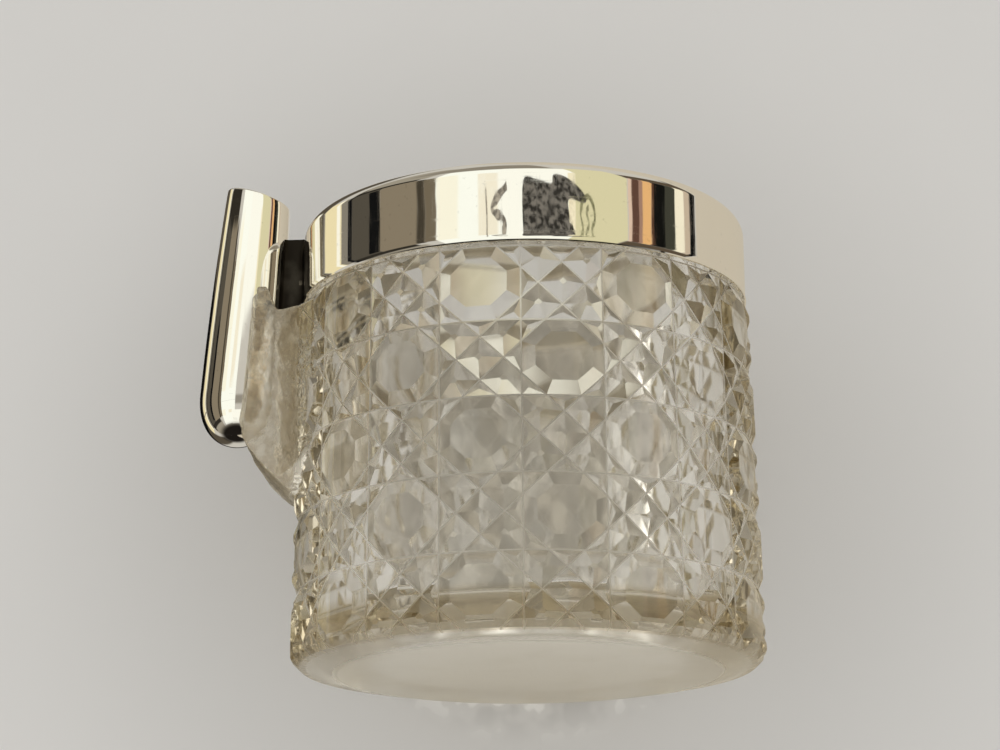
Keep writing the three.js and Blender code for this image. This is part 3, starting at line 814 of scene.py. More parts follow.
def cut_lines_group(cup, cut):
    """Masks of the cup's own places.

    They are the groove bottoms, the flat base, the bevel at the foot, the wall beside the thick floor,
    the inside, and the boss that stands out from the wall.
    """
    name = "cut lines"
    if name in bpy.data.node_groups:
        return bpy.data.node_groups[name]
    group, given, made = new_group(
        name, {"Line Width": 0.12 * MM}, ("Groove", "Base", "Foot", "Floor", "Inside", "Boss"),
    )
    pattern = Pattern(cup, cut)
    place = add_node(group, "TexCoord").outputs["Object"]
    x, y, z = add_node(group, "SeparateXYZ", None, {0: place}).outputs
    turn = math_node(group, "ARCTAN2", x, math_node(group, "MULTIPLY", y, -1.0))
    column = math_node(group, "DIVIDE", turn, pattern.column_angle)
    climb = math_node(group, "SUBTRACT", z, cut.bottom_groove)
    row = math_node(group, "DIVIDE", climb, pattern.row_height)
    lines = [
        math_node(group, "MULTIPLY", math_node(group, "PINGPONG", column, 0.5), pattern.cell_width),
        math_node(group, "MULTIPLY", math_node(group, "PINGPONG", row, 0.5), pattern.row_height),
    ]
    for operation, parity in (("ADD", cut.rows % 2), ("SUBTRACT", (cut.rows + 1) % 2)):
        both = math_node(group, operation, column, row)
        ridge = math_node(group, "PINGPONG", math_node(group, "ADD", both, float(parity)), 1.0)
        off = math_node(group, "ABSOLUTE", math_node(group, "SUBTRACT", ridge, cut.corner_share))
        lines.append(math_node(group, "MULTIPLY", off, pattern.span))
    nearest = lines[0]
    for line in lines[1:]:
        nearest = math_node(group, "MINIMUM", nearest, line)
    core = math_node(group, "MULTIPLY", given["Line Width"], 0.6)
    mark = ranged(group, nearest, core, given["Line Width"], 1.0, 0.0)
    radius = math_node(group, "SQRT", math_node(
        group, "ADD", math_node(group, "MULTIPLY", x, x), math_node(group, "MULTIPLY", y, y)))
    inmost, outside = cup.shoulder_radius - 1.2 * MM, cup.shoulder_radius + cup.wall_flare
    on_side = math_node(group, "GREATER_THAN", radius, inmost)
    on_wall = math_node(group, "MULTIPLY", on_side, math_node(group, "LESS_THAN", radius, outside))
    under_shoulder = math_node(group, "LESS_THAN", z, cup.shoulder_height - 0.1 * MM)
    on_wall = math_node(group, "MULTIPLY", on_wall, under_shoulder)
    group.links.new(math_node(group, "MULTIPLY", mark, on_wall), made["Groove"])
    group.links.new(ranged(group, z, 0.01 * MM, 0.14 * MM, 1.0, 0.0), made["Base"])
    group.links.new(ranged(group, z, cup.foot_edge_height, cup.wall_start, 1.0, 0.0), made["Foot"])
    hollow = math_node(group, "MULTIPLY",
                       math_node(group, "LESS_THAN", radius, cup.bore_radius + 0.2 * MM),
                       math_node(group, "GREATER_THAN", z, cup.floor_height - 0.2 * MM))
    group.links.new(hollow, made["Inside"])
    beside = ranged(group, z, cup.floor_height - 0.8 * MM, cup.floor_height + 0.4 * MM, 1.0, 0.0)
    group.links.new(math_node(group, "MULTIPLY", beside, on_side), made["Floor"])
    group.links.new(ranged(group, radius, outside, outside + 0.4 * MM, 0.0, 1.0), made["Boss"])
    return group


# What tints the glass in its own places
DULL_TINT = (0.86, 0.84, 0.80, 1.0)
GROOVE_TINT = (0.90, 0.89, 0.87, 1.0)
BOSS_TINT = (0.985, 0.94, 0.84, 1.0)
PIT_TINT = (0.74, 0.655, 0.52, 1.0)
FLOOR_TINT = (0.64, 0.57, 0.445, 1.0)
# The flat base's tint is partly the neutral grey of its frosted, worn glass and partly painted shade that
# darkens it
BASE_WEAR_AND_SHADE_TINT = (0.84, 0.835, 0.82, 1.0)
WORN_TINT = (0.74, 0.72, 0.675, 1.0)
# How much rougher than polished glass those places are
ROUGHER = (("Groove", 0.30), ("Base", 0.30), ("Foot", 0.22), ("Inside", 0.08), ("Boss", 0.20))


def cut_glass_material(finishes, cup, cut):
    """Clear lead glass with a faint straw tint where it is thick, and the marks of its cutting."""
    material, tree, shader, output = new_material("cut glass")
    film = place_group(tree, handling_group(), patch_scale=110.0, speck_scale=1400.0, seed=3.0)
    polish = place_group(tree, hand_polish_group(), hairline_scale=90.0, wave_scale=160.0, seed=5.0)
    marks = place_group(tree, cut_lines_group(cup, cut), line_width=0.13 * MM)
    dulled = math_node(tree, "MAXIMUM", math_node(tree, "MULTIPLY", film["Patches"], 0.35),
                       math_node(tree, "MULTIPLY", film["Specks"], 0.4))
    tint = mixed(tree, math_node(tree, "MULTIPLY", dulled, 0.10), tuple(finishes.glass), DULL_TINT)
    tint = mixed(tree, marks["Groove"], tint, GROOVE_TINT)
    place = add_node(tree, "TexCoord").outputs["Object"]
    pits = add_node(tree, "TexNoise", None, {"Vector": place, "Scale": 740.0, "Detail": 5.0}).outputs[0]
    pitted = math_node(tree, "MULTIPLY", ranged(tree, pits, 0.42, 0.57, 0.0, 1.0), marks["Boss"])
    tint = mixed(tree, marks["Boss"], tint, BOSS_TINT)
    tint = mixed(tree, pitted, tint, PIT_TINT)
    tint = mixed(tree, marks["Floor"], tint, FLOOR_TINT)
    # Frosting and painted shade: the flat base is greyed and darkened
    tint = mixed(tree, marks["Base"], tint, BASE_WEAR_AND_SHADE_TINT)
    worn = math_node(tree, "MULTIPLY", marks["Base"], film["Patches"])
    tint = mixed(tree, math_node(tree, "MULTIPLY", worn, 0.5), tint, WORN_TINT)
    tree.links.new(tint, shader.inputs["Base Color"])
    rough = math_node(tree, "MULTIPLY_ADD", dulled, 0.05, 0.02)
    rough = math_node(tree, "MULTIPLY_ADD", polish["Hairlines"], 0.02, rough)
    for mark, added in ROUGHER:
        rough = math_node(tree, "MULTIPLY_ADD", marks[mark], added, rough)
    tree.links.new(rough, shader.inputs["Roughness"])
    waves = add_node(tree, "Bump", None, {
        "Strength": 0.12, "Distance": 0.02 * MM, "Height": polish["Waves"],
    })
    pitting = math_node(tree, "MULTIPLY", pits, marks["Boss"])
    bump = add_node(tree, "Bump", None, {
        "Strength": 0.8, "Distance": 0.30 * MM, "Height": pitting, "Normal": waves.outputs[0],
    })
    tree.links.new(bump.outputs[0], shader.inputs["Normal"])
    shader.inputs["Metallic"].default_value = 0.0
    shader.inputs["IOR"].default_value = 1.54
    shader.inputs["Transmission Weight"].default_value = 1.0

    path = add_node(tree, "LightPath").outputs
    passing = math_node(tree, "MAXIMUM", path["Is Shadow Ray"], path["Is Diffuse Ray"])
    clear = add_node(tree, "BsdfTransparent", None, {"Color": (0.88, 0.87, 0.85, 1.0)})
    surface = add_node(tree, "MixShader", None, {0: passing, 1: shader.outputs[0], 2: clear.outputs[0]})
    tree.links.new(surface.outputs[0], output.inputs["Surface"])
    depth = add_node(tree, "VolumeAbsorption", None, {
        "Color": tuple(finishes.deep_glass), "Density": 32.0,
    })
    tree.links.new(depth.outputs[0], output.inputs["Volume"])
    return material


def silver_material(name, finishes, seed, dulling, tarnish_share, wave_depth):
    """Polished silver. dulling is its least roughness, and tarnish_share how dark its patches go."""
    material, tree, shader, _ = new_material(name)
    polish = place_group(tree, hand_polish_group(), hairline_scale=70.0, wave_scale=70.0, seed=seed)
    film = place_group(tree, handling_group(), patch_scale=90.0, speck_scale=1100.0, seed=seed + 7.0)
    stained = math_node(tree, "MULTIPLY", film["Patches"], tarnish_share)
    stained = math_node(tree, "MAXIMUM", stained, math_node(tree, "MULTIPLY", film["Specks"], 0.10))
    tint = mixed(tree, stained, tuple(finishes.silver), tuple(finishes.tarnish_and_gap_shade))
    tree.links.new(tint, shader.inputs["Base Color"])
    rough = math_node(tree, "MULTIPLY_ADD", polish["Hairlines"], 0.05, dulling)
    rough = math_node(tree, "MULTIPLY_ADD", stained, 0.25, rough)
    tree.links.new(rough, shader.inputs["Roughness"])
    bump = add_node(tree, "Bump", None, {
        "Strength": 1.0, "Distance": wave_depth, "Height": polish["Waves"],
    })
    tree.links.new(bump.outputs[0], shader.inputs["Normal"])
    shader.inputs["Metallic"].default_value = 1.0
    return material


def gap_shade_material(finishes):
    """Silver painted nearly black: painted shade for the dark gap between the collar and the tube, with
    solder showing in spots.
    """
    material, tree, shader, _ = new_material("gap shade silver")
    film = place_group(tree, handling_group(), patch_scale=240.0, speck_scale=900.0, seed=9.0)
    tint = mixed(tree, film["Patches"], tuple(finishes.tarnish_and_gap_shade), (0.05, 0.043, 0.034, 1.0))
    tint = mixed(tree, film["Specks"], tint, (0.16, 0.14, 0.11, 1.0))
    tree.links.new(tint, shader.inputs["Base Color"])
    rough = math_node(tree, "MULTIPLY_ADD", film["Patches"], 0.2, 0.34)
    tree.links.new(rough, shader.inputs["Roughness"])
    bump = add_node(tree, "Bump", None, {
        "Strength": 0.5, "Distance": 0.05 * MM, "Height": film["Patches"],
    })
    tree.links.new(bump.outputs[0], shader.inputs["Normal"])
    shader.inputs["Metallic"].default_value = 1.0
    return material


def plaster_material(finishes):
    """Dry, faintly yellowed plaster."""
    material, tree, shader, _ = new_material("collar plaster")
    film = place_group(tree, handling_group(), patch_scale=260.0, speck_scale=2200.0, seed=11.0)
    tint = mixed(tree, film["Patches"], tuple(finishes.plaster), (0.50, 0.43, 0.32, 1.0))
    tint = mixed(tree, math_node(tree, "MULTIPLY", film["Specks"], 0.6), tint, (0.25, 0.20, 0.14, 1.0))
    tree.links.new(tint, shader.inputs["Base Color"])
    tree.links.new(math_node(tree, "MULTIPLY_ADD", film["Specks"], 0.1, 0.82), shader.inputs["Roughness"])
    bump = add_node(tree, "Bump", None, {
        "Strength": 0.6, "Distance": 0.15 * MM, "Height": film["Patches"],
    })
    tree.links.new(bump.outputs[0], shader.inputs["Normal"])
    return material


def dress(piece, material, slot, *nodes):
    """Gives a piece its finish and its place in the model."""
    piece.data.materials.clear()
    piece.data.materials.append(material)
    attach(piece, "root")
    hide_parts(*nodes)


# Operators


class POT_OT_cup(bpy.types.Operator):
    """Make the cut-glass cup with its boss"""

    bl_idname = "pot.cup"
    bl_label = "Cut-Glass Cup"

    def execute(self, context):
        scene = context.scene
        cup, boss, tube = scene.pot_cup, scene.pot_boss, scene.pot_tube
        noise.seed_set(HAND_SEED)
        piece = make_cut_wall(cup, scene.pot_cut)
        piece.name = piece.data.name = "cut_glass_cup"
        combine(piece, make_neck(cup), "UNION")
        combine(piece, make_boss(cup, boss, tube), "UNION")
        combine(piece, make_bore(cup), "DIFFERENCE")
        combine(piece, make_tube_cutter(tube, boss.seat_gap), "DIFFERENCE")
        tidy_mesh(piece, FACET_CREASE)
        dress(piece, cut_glass_material(scene.pot_finishes, cup, scene.pot_cut), "glass", "glass_body")
        return {"FINISHED"}


class POT_OT_collar(bpy.types.Operator):
    """Make the silver collar, its sleeve and the plaster that beds it"""

    bl_idname = "pot.collar"
    bl_label = "Silver Collar"

    def execute(self, context):
        scene = context.scene
        sizes = scene.pot_collar
        finishes = scene.pot_finishes
        segments = 288
        inner = sizes.radius - sizes.gauge
        bead = sizes.bead / 2
        mouth = sizes.sleeve_radius - sizes.gauge
        shoulder = (sizes.radius - sizes.rounding, sizes.top - sizes.rounding)
        edge = 0.12 * MM
        band = [
            (inner, sizes.bottom + edge),
            (inner + edge, sizes.bottom),
            (sizes.radius + sizes.flare - edge, sizes.bottom),
            *self.turned_out_edge(sizes, edge),
            *arc(shoulder, sizes.rounding, 0, 90, 24),
            *arc((mouth, sizes.top - bead), bead, 90, 270, 12),
            (mouth + sizes.gauge, sizes.top - sizes.gauge),
            *arc(shoulder, sizes.rounding - sizes.gauge, 90, 0, 10),
        ]
        piece = make_piece("collar_wall", *lathe(band, segments, ring=True))
        tidy_mesh(piece, SHEET_CREASE)
        polished = silver_material("polished silver", finishes, 1.0, 0.03, 0.02, 0.035 * MM)
        dress(piece, polished, "silver", "collar_band")

        top = sizes.top - sizes.bead
        sleeve = [
            (mouth, sizes.sleeve_bottom + edge),
            (mouth + edge, sizes.sleeve_bottom),
            (sizes.sleeve_radius, sizes.sleeve_bottom),
            (sizes.sleeve_radius, top),
            (mouth, top),
        ]
        piece = make_piece("mouth_sleeve", *lathe(sleeve, segments, ring=True))
        tidy_mesh(piece, SHEET_CREASE)
        dulled = silver_material("dulled silver", finishes, 4.0, 0.42, 0.12, 0.03 * MM)
        dress(piece, dulled, "silver", "collar_sleeve")
        self.make_plaster(sizes, scene.pot_cup, finishes)
        return {"FINISHED"}

    def turned_out_edge(self, sizes, edge):
        """Points of the lower edge, which turns out a little over the glass shoulder."""
        steps = 8
        points = []
        for i in range(steps):
            left = 1 - i / steps
            height = sizes.bottom + edge + (sizes.flare_height - edge) * i / steps
            points.append((sizes.radius + sizes.flare * left * left, height))
        return points

    def make_plaster(self, sizes, cup, finishes):
        gap = 0.1 * MM
        outer = sizes.radius - sizes.gauge - gap
        inner = cup.neck_radius + gap
        top = sizes.top - sizes.gauge - gap
        ledge = cup.neck_top + gap
        mouth = sizes.sleeve_radius + gap
        bevel = sizes.rounding - sizes.gauge
        steps = 10
        rise = (top - bevel - sizes.bottom) / steps
        wall = [(outer, sizes.bottom + rise * i) for i in range(steps + 1)]
        bed = [(inner + (outer - inner) * i / 4, sizes.bottom + 0.2 * MM) for i in range(4)]
        back = [(inner, ledge + (sizes.bottom + 0.2 * MM - ledge) * i / steps) for i in range(steps)]
        profile = [*bed, *wall, (outer - bevel, top), (mouth, top), (mouth, ledge), *back]
        vertices, faces = lathe(profile, 180, ring=True)
        piece = make_piece("collar_bed", vertices, faces)
        for vertex in piece.data.vertices:
            if vertex.co.z < sizes.bottom + 1 * MM:
                vertex.co.z += 0.25 * MM * (1 + noise.noise(vertex.co / (1.3 * MM)))
        tidy_mesh(piece, SOFT_CREASE)
        dress(piece, plaster_material(finishes), "plaster", "collar_cement")


class POT_OT_side_tube(bpy.types.Operator):
    """Make the side tube, its domed end and the strap that carries it"""

    bl_idname = "pot.side_tube"
    bl_label = "Side Tube"

    def execute(self, context):
        scene = context.scene
        tube = scene.pot_tube
        finishes = scene.pot_finishes
        polished = silver_material("tube silver", finishes, 2.0, 0.03, 0.02, 0.03 * MM)
        place = tube_place(tube)
        segments = 128

        outer = barrel_outline(tube, 0.0, 32)[:-1]
        inner = [(radius - tube.gauge, height) for radius, height in reversed(outer)]
        lip = tube.gauge / 2
        rim = arc((tube.rim_radius - lip, -lip), lip, 0, 180, 12)
        piece = make_piece("tube_barrel", *lathe([*outer, *rim, *inner], segments, ring=True))
        for vertex in piece.data.vertices:
            share = max(0.0, 1 + vertex.co.z / barrel_length(tube))
            vertex.co.z -= vertex.co.x * math.tan(tube.rake) * share ** 2
        piece.data.transform(place)
        tidy_mesh(piece, SOFT_CREASE)
        dress(piece, polished, "silver", "side_tube")

        dome = dome_outline(tube, 0.0, 32)
        seam = -barrel_length(tube)
        across = (tube.belly_radius - tube.gauge) / tube.belly_radius
        along = (tube.dome_length - tube.gauge) / tube.dome_length
        hollow = [(radius * across, seam + (height - seam) * along) for radius, height in reversed(dome)]
        profile = [*dome, (tube.belly_radius, seam), (tube.belly_radius - tube.gauge, seam), *hollow]
        piece = make_piece("tube_dome", *lathe(profile, segments, ring=False))
        piece.data.transform(place)
        tidy_mesh(piece, SOFT_CREASE)
        dress(piece, polished, "silver", "side_tube_cap")
        self.make_strap(scene, finishes)
        return {"FINISHED"}

    def make_strap(self, scene, finishes):
        """A strap whose sides run out into solder fillets on the collar and the tube."""
        collar, tube = scene.pot_collar, scene.pot_tube
        half = (strap_high.y - strap_low.y) / 2
        wide = half + collar.fillet
        step_out = 0.75 * MM
        levels, steps = 28, 10
        rings = []

        def waist(t):
            """Half width of the strap on its way from the collar to the tube."""
            return side - (side - half) * (1 - (2 * t - 1) ** 2) ** 0.5

        for level in range(levels + 1):
            share = level / levels
            height = strap_low.z + (strap_high.z - strap_low.z) * share
            ease = min(1.0, 4 * min(share, 1 - share) + 0.25)
            side = half + (wide - half) * ease
            reach = (tube.rim_height - height) / math.cos(tube.lean)
            girth = barrel_radius(tube, min(reach, barrel_length(tube)))
            axis = tube_axis(tube, height)
            pot_radius = collar.radius + (0.0 if height > collar.bottom else step_out)
            ring = []
            for i in range(steps + 1):
                y = -side + 2 * side * i / steps
                ring.append((-math.sqrt(pot_radius ** 2 - y * y), y, height))
            near, far = ring[-1][0], axis + math.sqrt(girth ** 2 - side * side)
            for i in range(1, steps):
                t = i / steps
                ring.append((near + (far - near) * t, waist(t), height))
            for i in range(steps + 1):
                y = side - 2 * side * i / steps
                ring.append((axis + math.sqrt(girth ** 2 - y * y), y, height))
            for i in range(1, steps):
                t = 1 - i / steps
                ring.append((near + (far - near) * t, -waist(t), height))
            rings.append(ring)
        count = len(rings[0])
        vertices = [point for ring in rings for point in ring]
        faces = [tuple(range(count)), tuple(range(levels * count, (levels + 1) * count))]
        for level in range(levels):
            low, high = level * count, (level + 1) * count
            for i in range(count):
                j = (i + 1) % count
                faces.append((low + i, low + j, high + j, high + i))
        piece = make_piece("tube_strap", vertices, faces)
        tidy_mesh(piece, STRAP_CREASE)
        # The strap's near-black finish is painted shade for the dark gap between collar and tube
        dress(piece, gap_shade_material(finishes), "silver", "bridge_strap")


# How far the pale surfaces reach, and the cards behind the pot, which show only in reflections:
# their left and right edges, and their lower and upper edges
STAGE_REACH = 1.2
PALE_CARD = (-15 * MM, 270 * MM, -STAGE_REACH, STAGE_REACH)
# The shade card is a painted shadow: the tube's shadow on the surface behind, which shows only in
# reflections
SHADE_CARD = (-80 * MM, -15 * MM, 26 * MM, 68 * MM)


class POT_OT_stage(bpy.types.Operator):
    """Make the pale surfaces, the cards for the reflections, the soft light and the camera"""

    bl_idname = "pot.stage"
    bl_label = "Stage"

    def execute(self, context):
        scene = context.scene
        self.make_surfaces(scene)
        make_surroundings(scene)
        self.make_camera(scene)
        scene.view_settings.view_transform = "Standard"
        scene.cycles.max_bounces = 26
        scene.cycles.transmission_bounces = 26
        scene.cycles.glossy_bounces = 16
        scene.cycles.transparent_max_bounces = 64
        return {"FINISHED"}

    def make_surfaces(self, scene):
        material = pale_surface_material(scene.pot_view)
        cup, reach = scene.pot_cup, STAGE_REACH
        back = cup.shoulder_radius + cup.wall_flare + 0.1 * MM
        wall = make_card("surface_behind", material, (-reach, back, -reach), (reach, back, reach))
        hide_from(wall, "glossy", "diffuse", "shadow")
        cards = []
        for name, finish, (left, right, low, high), gap in (
            ("pale_card", warm_card_material(), PALE_CARD, 1 * MM),
            ("shade_card", painted_shadow_card_material(), SHADE_CARD, 0.5 * MM),
        ):
            cards.append(make_card(name, finish, (left, back + gap, low), (right, back + gap, high)))
        cards += [make_mark(*mark) for mark in COLLAR_MARKS]
        for card in cards:
            hide_from(card, "camera", "diffuse", "transmission", "shadow")
        level = -0.05 * MM
        ground = make_card("ground", material, (-reach, -reach, level), (reach, reach, level))
        hide_from(ground, "diffuse", "glossy", "transmission", "shadow")

    def make_camera(self, scene):
        view = scene.pot_view
        camera = bpy.data.cameras.new("camera")
        camera.lens = view.lens
        camera.sensor_width = 36
        camera.clip_start = 0.01
        camera.clip_end = 20
        piece = bpy.data.objects.new("camera", camera)
        scene.collection.objects.link(piece)
        forward = Vector((0, math.cos(view.pitch), math.sin(view.pitch)))
        level = Vector((1, 0, 0))
        upright = level.cross(forward)
        right = level * math.cos(view.roll) + upright * math.sin(view.roll)
        up = -level * math.sin(view.roll) + upright * math.cos(view.roll)
        axes = Matrix((right, up, -forward)).transposed()
        turned = Matrix.Rotation(view.turn, 3, "Z") @ axes
        piece.matrix_world = Matrix.Translation(view.position) @ turned.to_4x4()
        scene.camera = piece


def hide_from(piece, *kinds):
    """Keeps kinds of light path, such as glossy or shadow, from seeing a piece."""
    for kind in kinds:
        setattr(piece, "visible_" + kind, False)


def make_card(name, material, low, high):
    """A flat upright or level card between two opposite corners, as part of the stage."""
    if low[0] == high[0]:
        corners = [low, (low[0], high[1], low[2]), high, (low[0], low[1], high[2])]
    elif low[1] == high[1]:
        corners = [low, (high[0], low[1], low[2]), high, (low[0], low[1], high[2])]
    else:
        corners = [low, (high[0], low[1], low[2]), high, (low[0], high[1], low[2])]
    piece = make_piece(name, corners, [(0, 1, 2, 3)])
    piece.data.materials.append(material)
    return piece


# Shapes well in front of the pot, which show only in reflections: name, half width of the line in
# mm or None for a filled shape, (x, z) points in mm, and the shape's light and darker light
COLLAR_MARKS = (
    ("dark_cloth", None, (
        (0.9, 60.9), (8.0, 60.6), (21.5, 61.0), (23.4, 62.6), (21.2, 64.6), (20.0, 66.0), (20.6, 67.4),
        (28.0, 68.2), (28.6, 69.4), (20.0, 70.2), (13.6, 69.9), (12.4, 68.5), (6.0, 68.7), (0.9, 68.3),
    ), (0.20, 0.185, 0.16), (0.030, 0.028, 0.024)),
    ("bright_fold", None, (
        (20.4, 64.2), (22.2, 64.4), (22.6, 66.0), (22.0, 67.6), (20.7, 67.3), (20.2, 65.8),
    ), (0.95, 0.88, 0.66), (0.80, 0.72, 0.50)),
    ("left_fold", 0.75, (
        (-5.6, 67.9), (-7.0, 67.4), (-9.4, 66.6), (-11.6, 65.6), (-11.4, 64.8), (-9.6, 64.2),
        (-7.4, 63.6), (-6.6, 62.6), (-6.9, 61.4), (-6.6, 60.4),
    ), (0.44, 0.40, 0.33), (0.16, 0.145, 0.12)),
    ("right_fold", 0.42, (
        (26.6, 60.0), (25.8, 62.4), (27.2, 64.4), (26.0, 66.4), (27.4, 68.4), (30.6, 69.6), (33.6, 68.8),
        (34.0, 67.0), (32.2, 65.4), (33.8, 63.6), (32.0, 61.6), (33.0, 59.8),
    ), (0.34, 0.33, 0.19), (0.17, 0.165, 0.09)),
    ("inner_fold", 0.36, (
        (29.0, 61.2), (30.4, 62.6), (28.8, 64.0), (30.6, 65.8), (29.2, 67.2), (30.6, 68.2),
    ), (0.40, 0.39, 0.24), (0.22, 0.21, 0.12)),
    ("left_shade", None, (
        (-14.4, 60.0), (-13.9, 60.0), (-13.6, 64.0), (-14.0, 68.0), (-14.6, 68.0), (-14.2, 64.0),
    ), (0.50, 0.46, 0.38), (0.30, 0.27, 0.22)),
)
MARK_DISTANCE = 60 * MM


def smooth_path(points, steps):
    """A smooth curve through points."""
    ends = [points[0], *points, points[-1]]
    curve = []
    for a, b, c, d in zip(ends, ends[1:], ends[2:], ends[3:]):
        for i in range(steps):
            t = i / steps
            curve.append(tuple(
                ((2 * q) + (r - p) * t + (2 * p - 5 * q + 4 * r - e) * t * t
                 + (3 * q - p - 3 * r + e) * t ** 3) / 2
                for p, q, r, e in zip(a, b, c, d)))
    return [*curve, points[-1]]


def make_mark(name, half, points, light, darker):
    """A shape or a line of uneven width that hangs in front of the pot."""
    if half is None:
        outline = smooth_path([*points, points[0]], 5)[:-1]
        faces = [tuple(range(len(outline)))]
    else:
        path = [Vector(p) for p in smooth_path(points, 5)]
        sides = []
        for i, here in enumerate(path):
            along = (path[min(i + 1, len(path) - 1)] - path[max(i - 1, 0)]).normalized()
            swell = half * (1 + 0.6 * noise.noise(Vector((here.x * 0.4, here.y * 0.7, half * 9))))
            aside = Vector((-along.y, along.x)) * swell
            sides.append((here + aside, here - aside))
        outline = [p for pair in sides for p in pair]
        faces = [(2 * i, 2 * i + 1, 2 * i + 3, 2 * i + 2) for i in range(len(path) - 1)]
    vertices = [(x * MM, -MARK_DISTANCE, z * MM) for x, z in outline]
    piece = make_piece(name, vertices, faces)
    piece.data.materials.append(mark_material(name, light, darker))
    return piece


def mark_material(name, light, darker):
    """A cloudy light between two colours."""
    material, tree, shader, output = new_material(name)
    tree.nodes.remove(shader)
    place = add_node(tree, "TexCoord").outputs["Object"]
    even = add_node(tree, "Mapping", None, {"Vector": place, "Scale": (1.0, 1.0, 2.6)}).outputs[0]
    cloud = add_node(tree, "TexNoise", None, {"Vector": even, "Scale": 520.0, "Detail": 4.0}).outputs[0]
    share = ranged(tree, cloud, 0.40, 0.62, 1.0, 0.0)
    glow = add_node(tree, "Emission", None, {"Color": mixed(tree, share, (*light, 1.0), (*darker, 1.0))})
    tree.links.new(glow.outputs[0], output.inputs["Surface"])
    return material


def one_sided(tree, shader, output):
    """Lets a surface show only from its front."""
    back = add_node(tree, "NewGeometry").outputs["Backfacing"]
    clear = add_node(tree, "BsdfTransparent")
    surface = add_node(tree, "MixShader", None, {0: back, 1: shader.outputs[0], 2: clear.outputs[0]})
    tree.links.new(surface.outputs[0], output.inputs["Surface"])


def painted_shadow_card_material():
    """A black card that takes no light: a painted shadow of the tube on the surface behind, which shows
    only in reflections.
    """
    material, _, shader, _ = new_material("black card")
    shader.inputs["Base Color"].default_value = (0.004, 0.004, 0.004, 1.0)
    shader.inputs["Roughness"].default_value = 1.0
    shader.inputs["Specular IOR Level"].default_value = 0.0
    return material


def warm_card_material():
    """A matt warm card that shows only from its front."""
    material, tree, shader, output = new_material("warm card")
    shader.inputs["Base Color"].default_value = (0.74, 0.675, 0.56, 1.0)
    shader.inputs["Roughness"].default_value = 1.0
    shader.inputs["Specular IOR Level"].default_value = 0.0
    one_sided(tree, shader, output)
    return material


# The pale surface's soft shade and the patches of light and shade behind the pot: their middle, the
# distances from it over which each fades out, and how much darker than the surface they are
SHADE_MIDDLE = (0.0, 30.3 * MM, 28 * MM)
SHADE_FADE = (42 * MM, 84 * MM)
PATCH_FADE = (24 * MM, 34 * MM)
MOTTLE_SHARE = 0.975
SHADE_SHARE = 0.89
PATCH_SHARE = 0.68
PATCH_GLINT = (0.95, 0.94, 0.92, 1.0)


def dimmed(tint, share):
    """A colour made darker."""
    return tuple(share * c for c in tint[:3]) + (1.0,)


def pale_surface_material(view):
    """A matt pale surface that shows only from its front, with a painted soft shade round the pot and
    painted patches of light and shade behind it.
    """
    material, tree, shader, output = new_material("pale surface")
    place = add_node(tree, "TexCoord").outputs["Object"]
    mottle = add_node(tree, "TexNoise", None, {"Vector": place, "Scale": 60.0, "Detail": 6.0}).outputs[0]
    away = add_node(tree, "VectorMath", {"operation": "DISTANCE"}, {0: place, 1: SHADE_MIDDLE})
    reach = away.outputs["Value"]
    base = tuple(view.surface)
    tint = mixed(tree, mottle, base, dimmed(base, MOTTLE_SHARE))
    tint = mixed(tree, ranged(tree, reach, *SHADE_FADE, 1.0, 0.0), tint, dimmed(base, SHADE_SHARE))
    patch = add_node(tree, "TexNoise", None, {"Vector": place, "Scale": 210.0, "Detail": 2.0}).outputs[0]
    behind = ranged(tree, reach, *PATCH_FADE, 1.0, 0.0)
    cast = math_node(tree, "MULTIPLY", behind, ranged(tree, patch, 0.40, 0.56, 1.0, 0.0))
    tint = mixed(tree, cast, tint, dimmed(base, PATCH_SHARE))
    glint = math_node(tree, "MULTIPLY", behind, ranged(tree, patch, 0.57, 0.63, 0.0, 1.0))
    tint = mixed(tree, glint, tint, PATCH_GLINT)
    tree.links.new(tint, shader.inputs["Base Color"])
    shader.inputs["Roughness"].default_value = 0.9
    shader.inputs["Specular IOR Level"].default_value = 0.2
    one_sided(tree, shader, output)
    return material


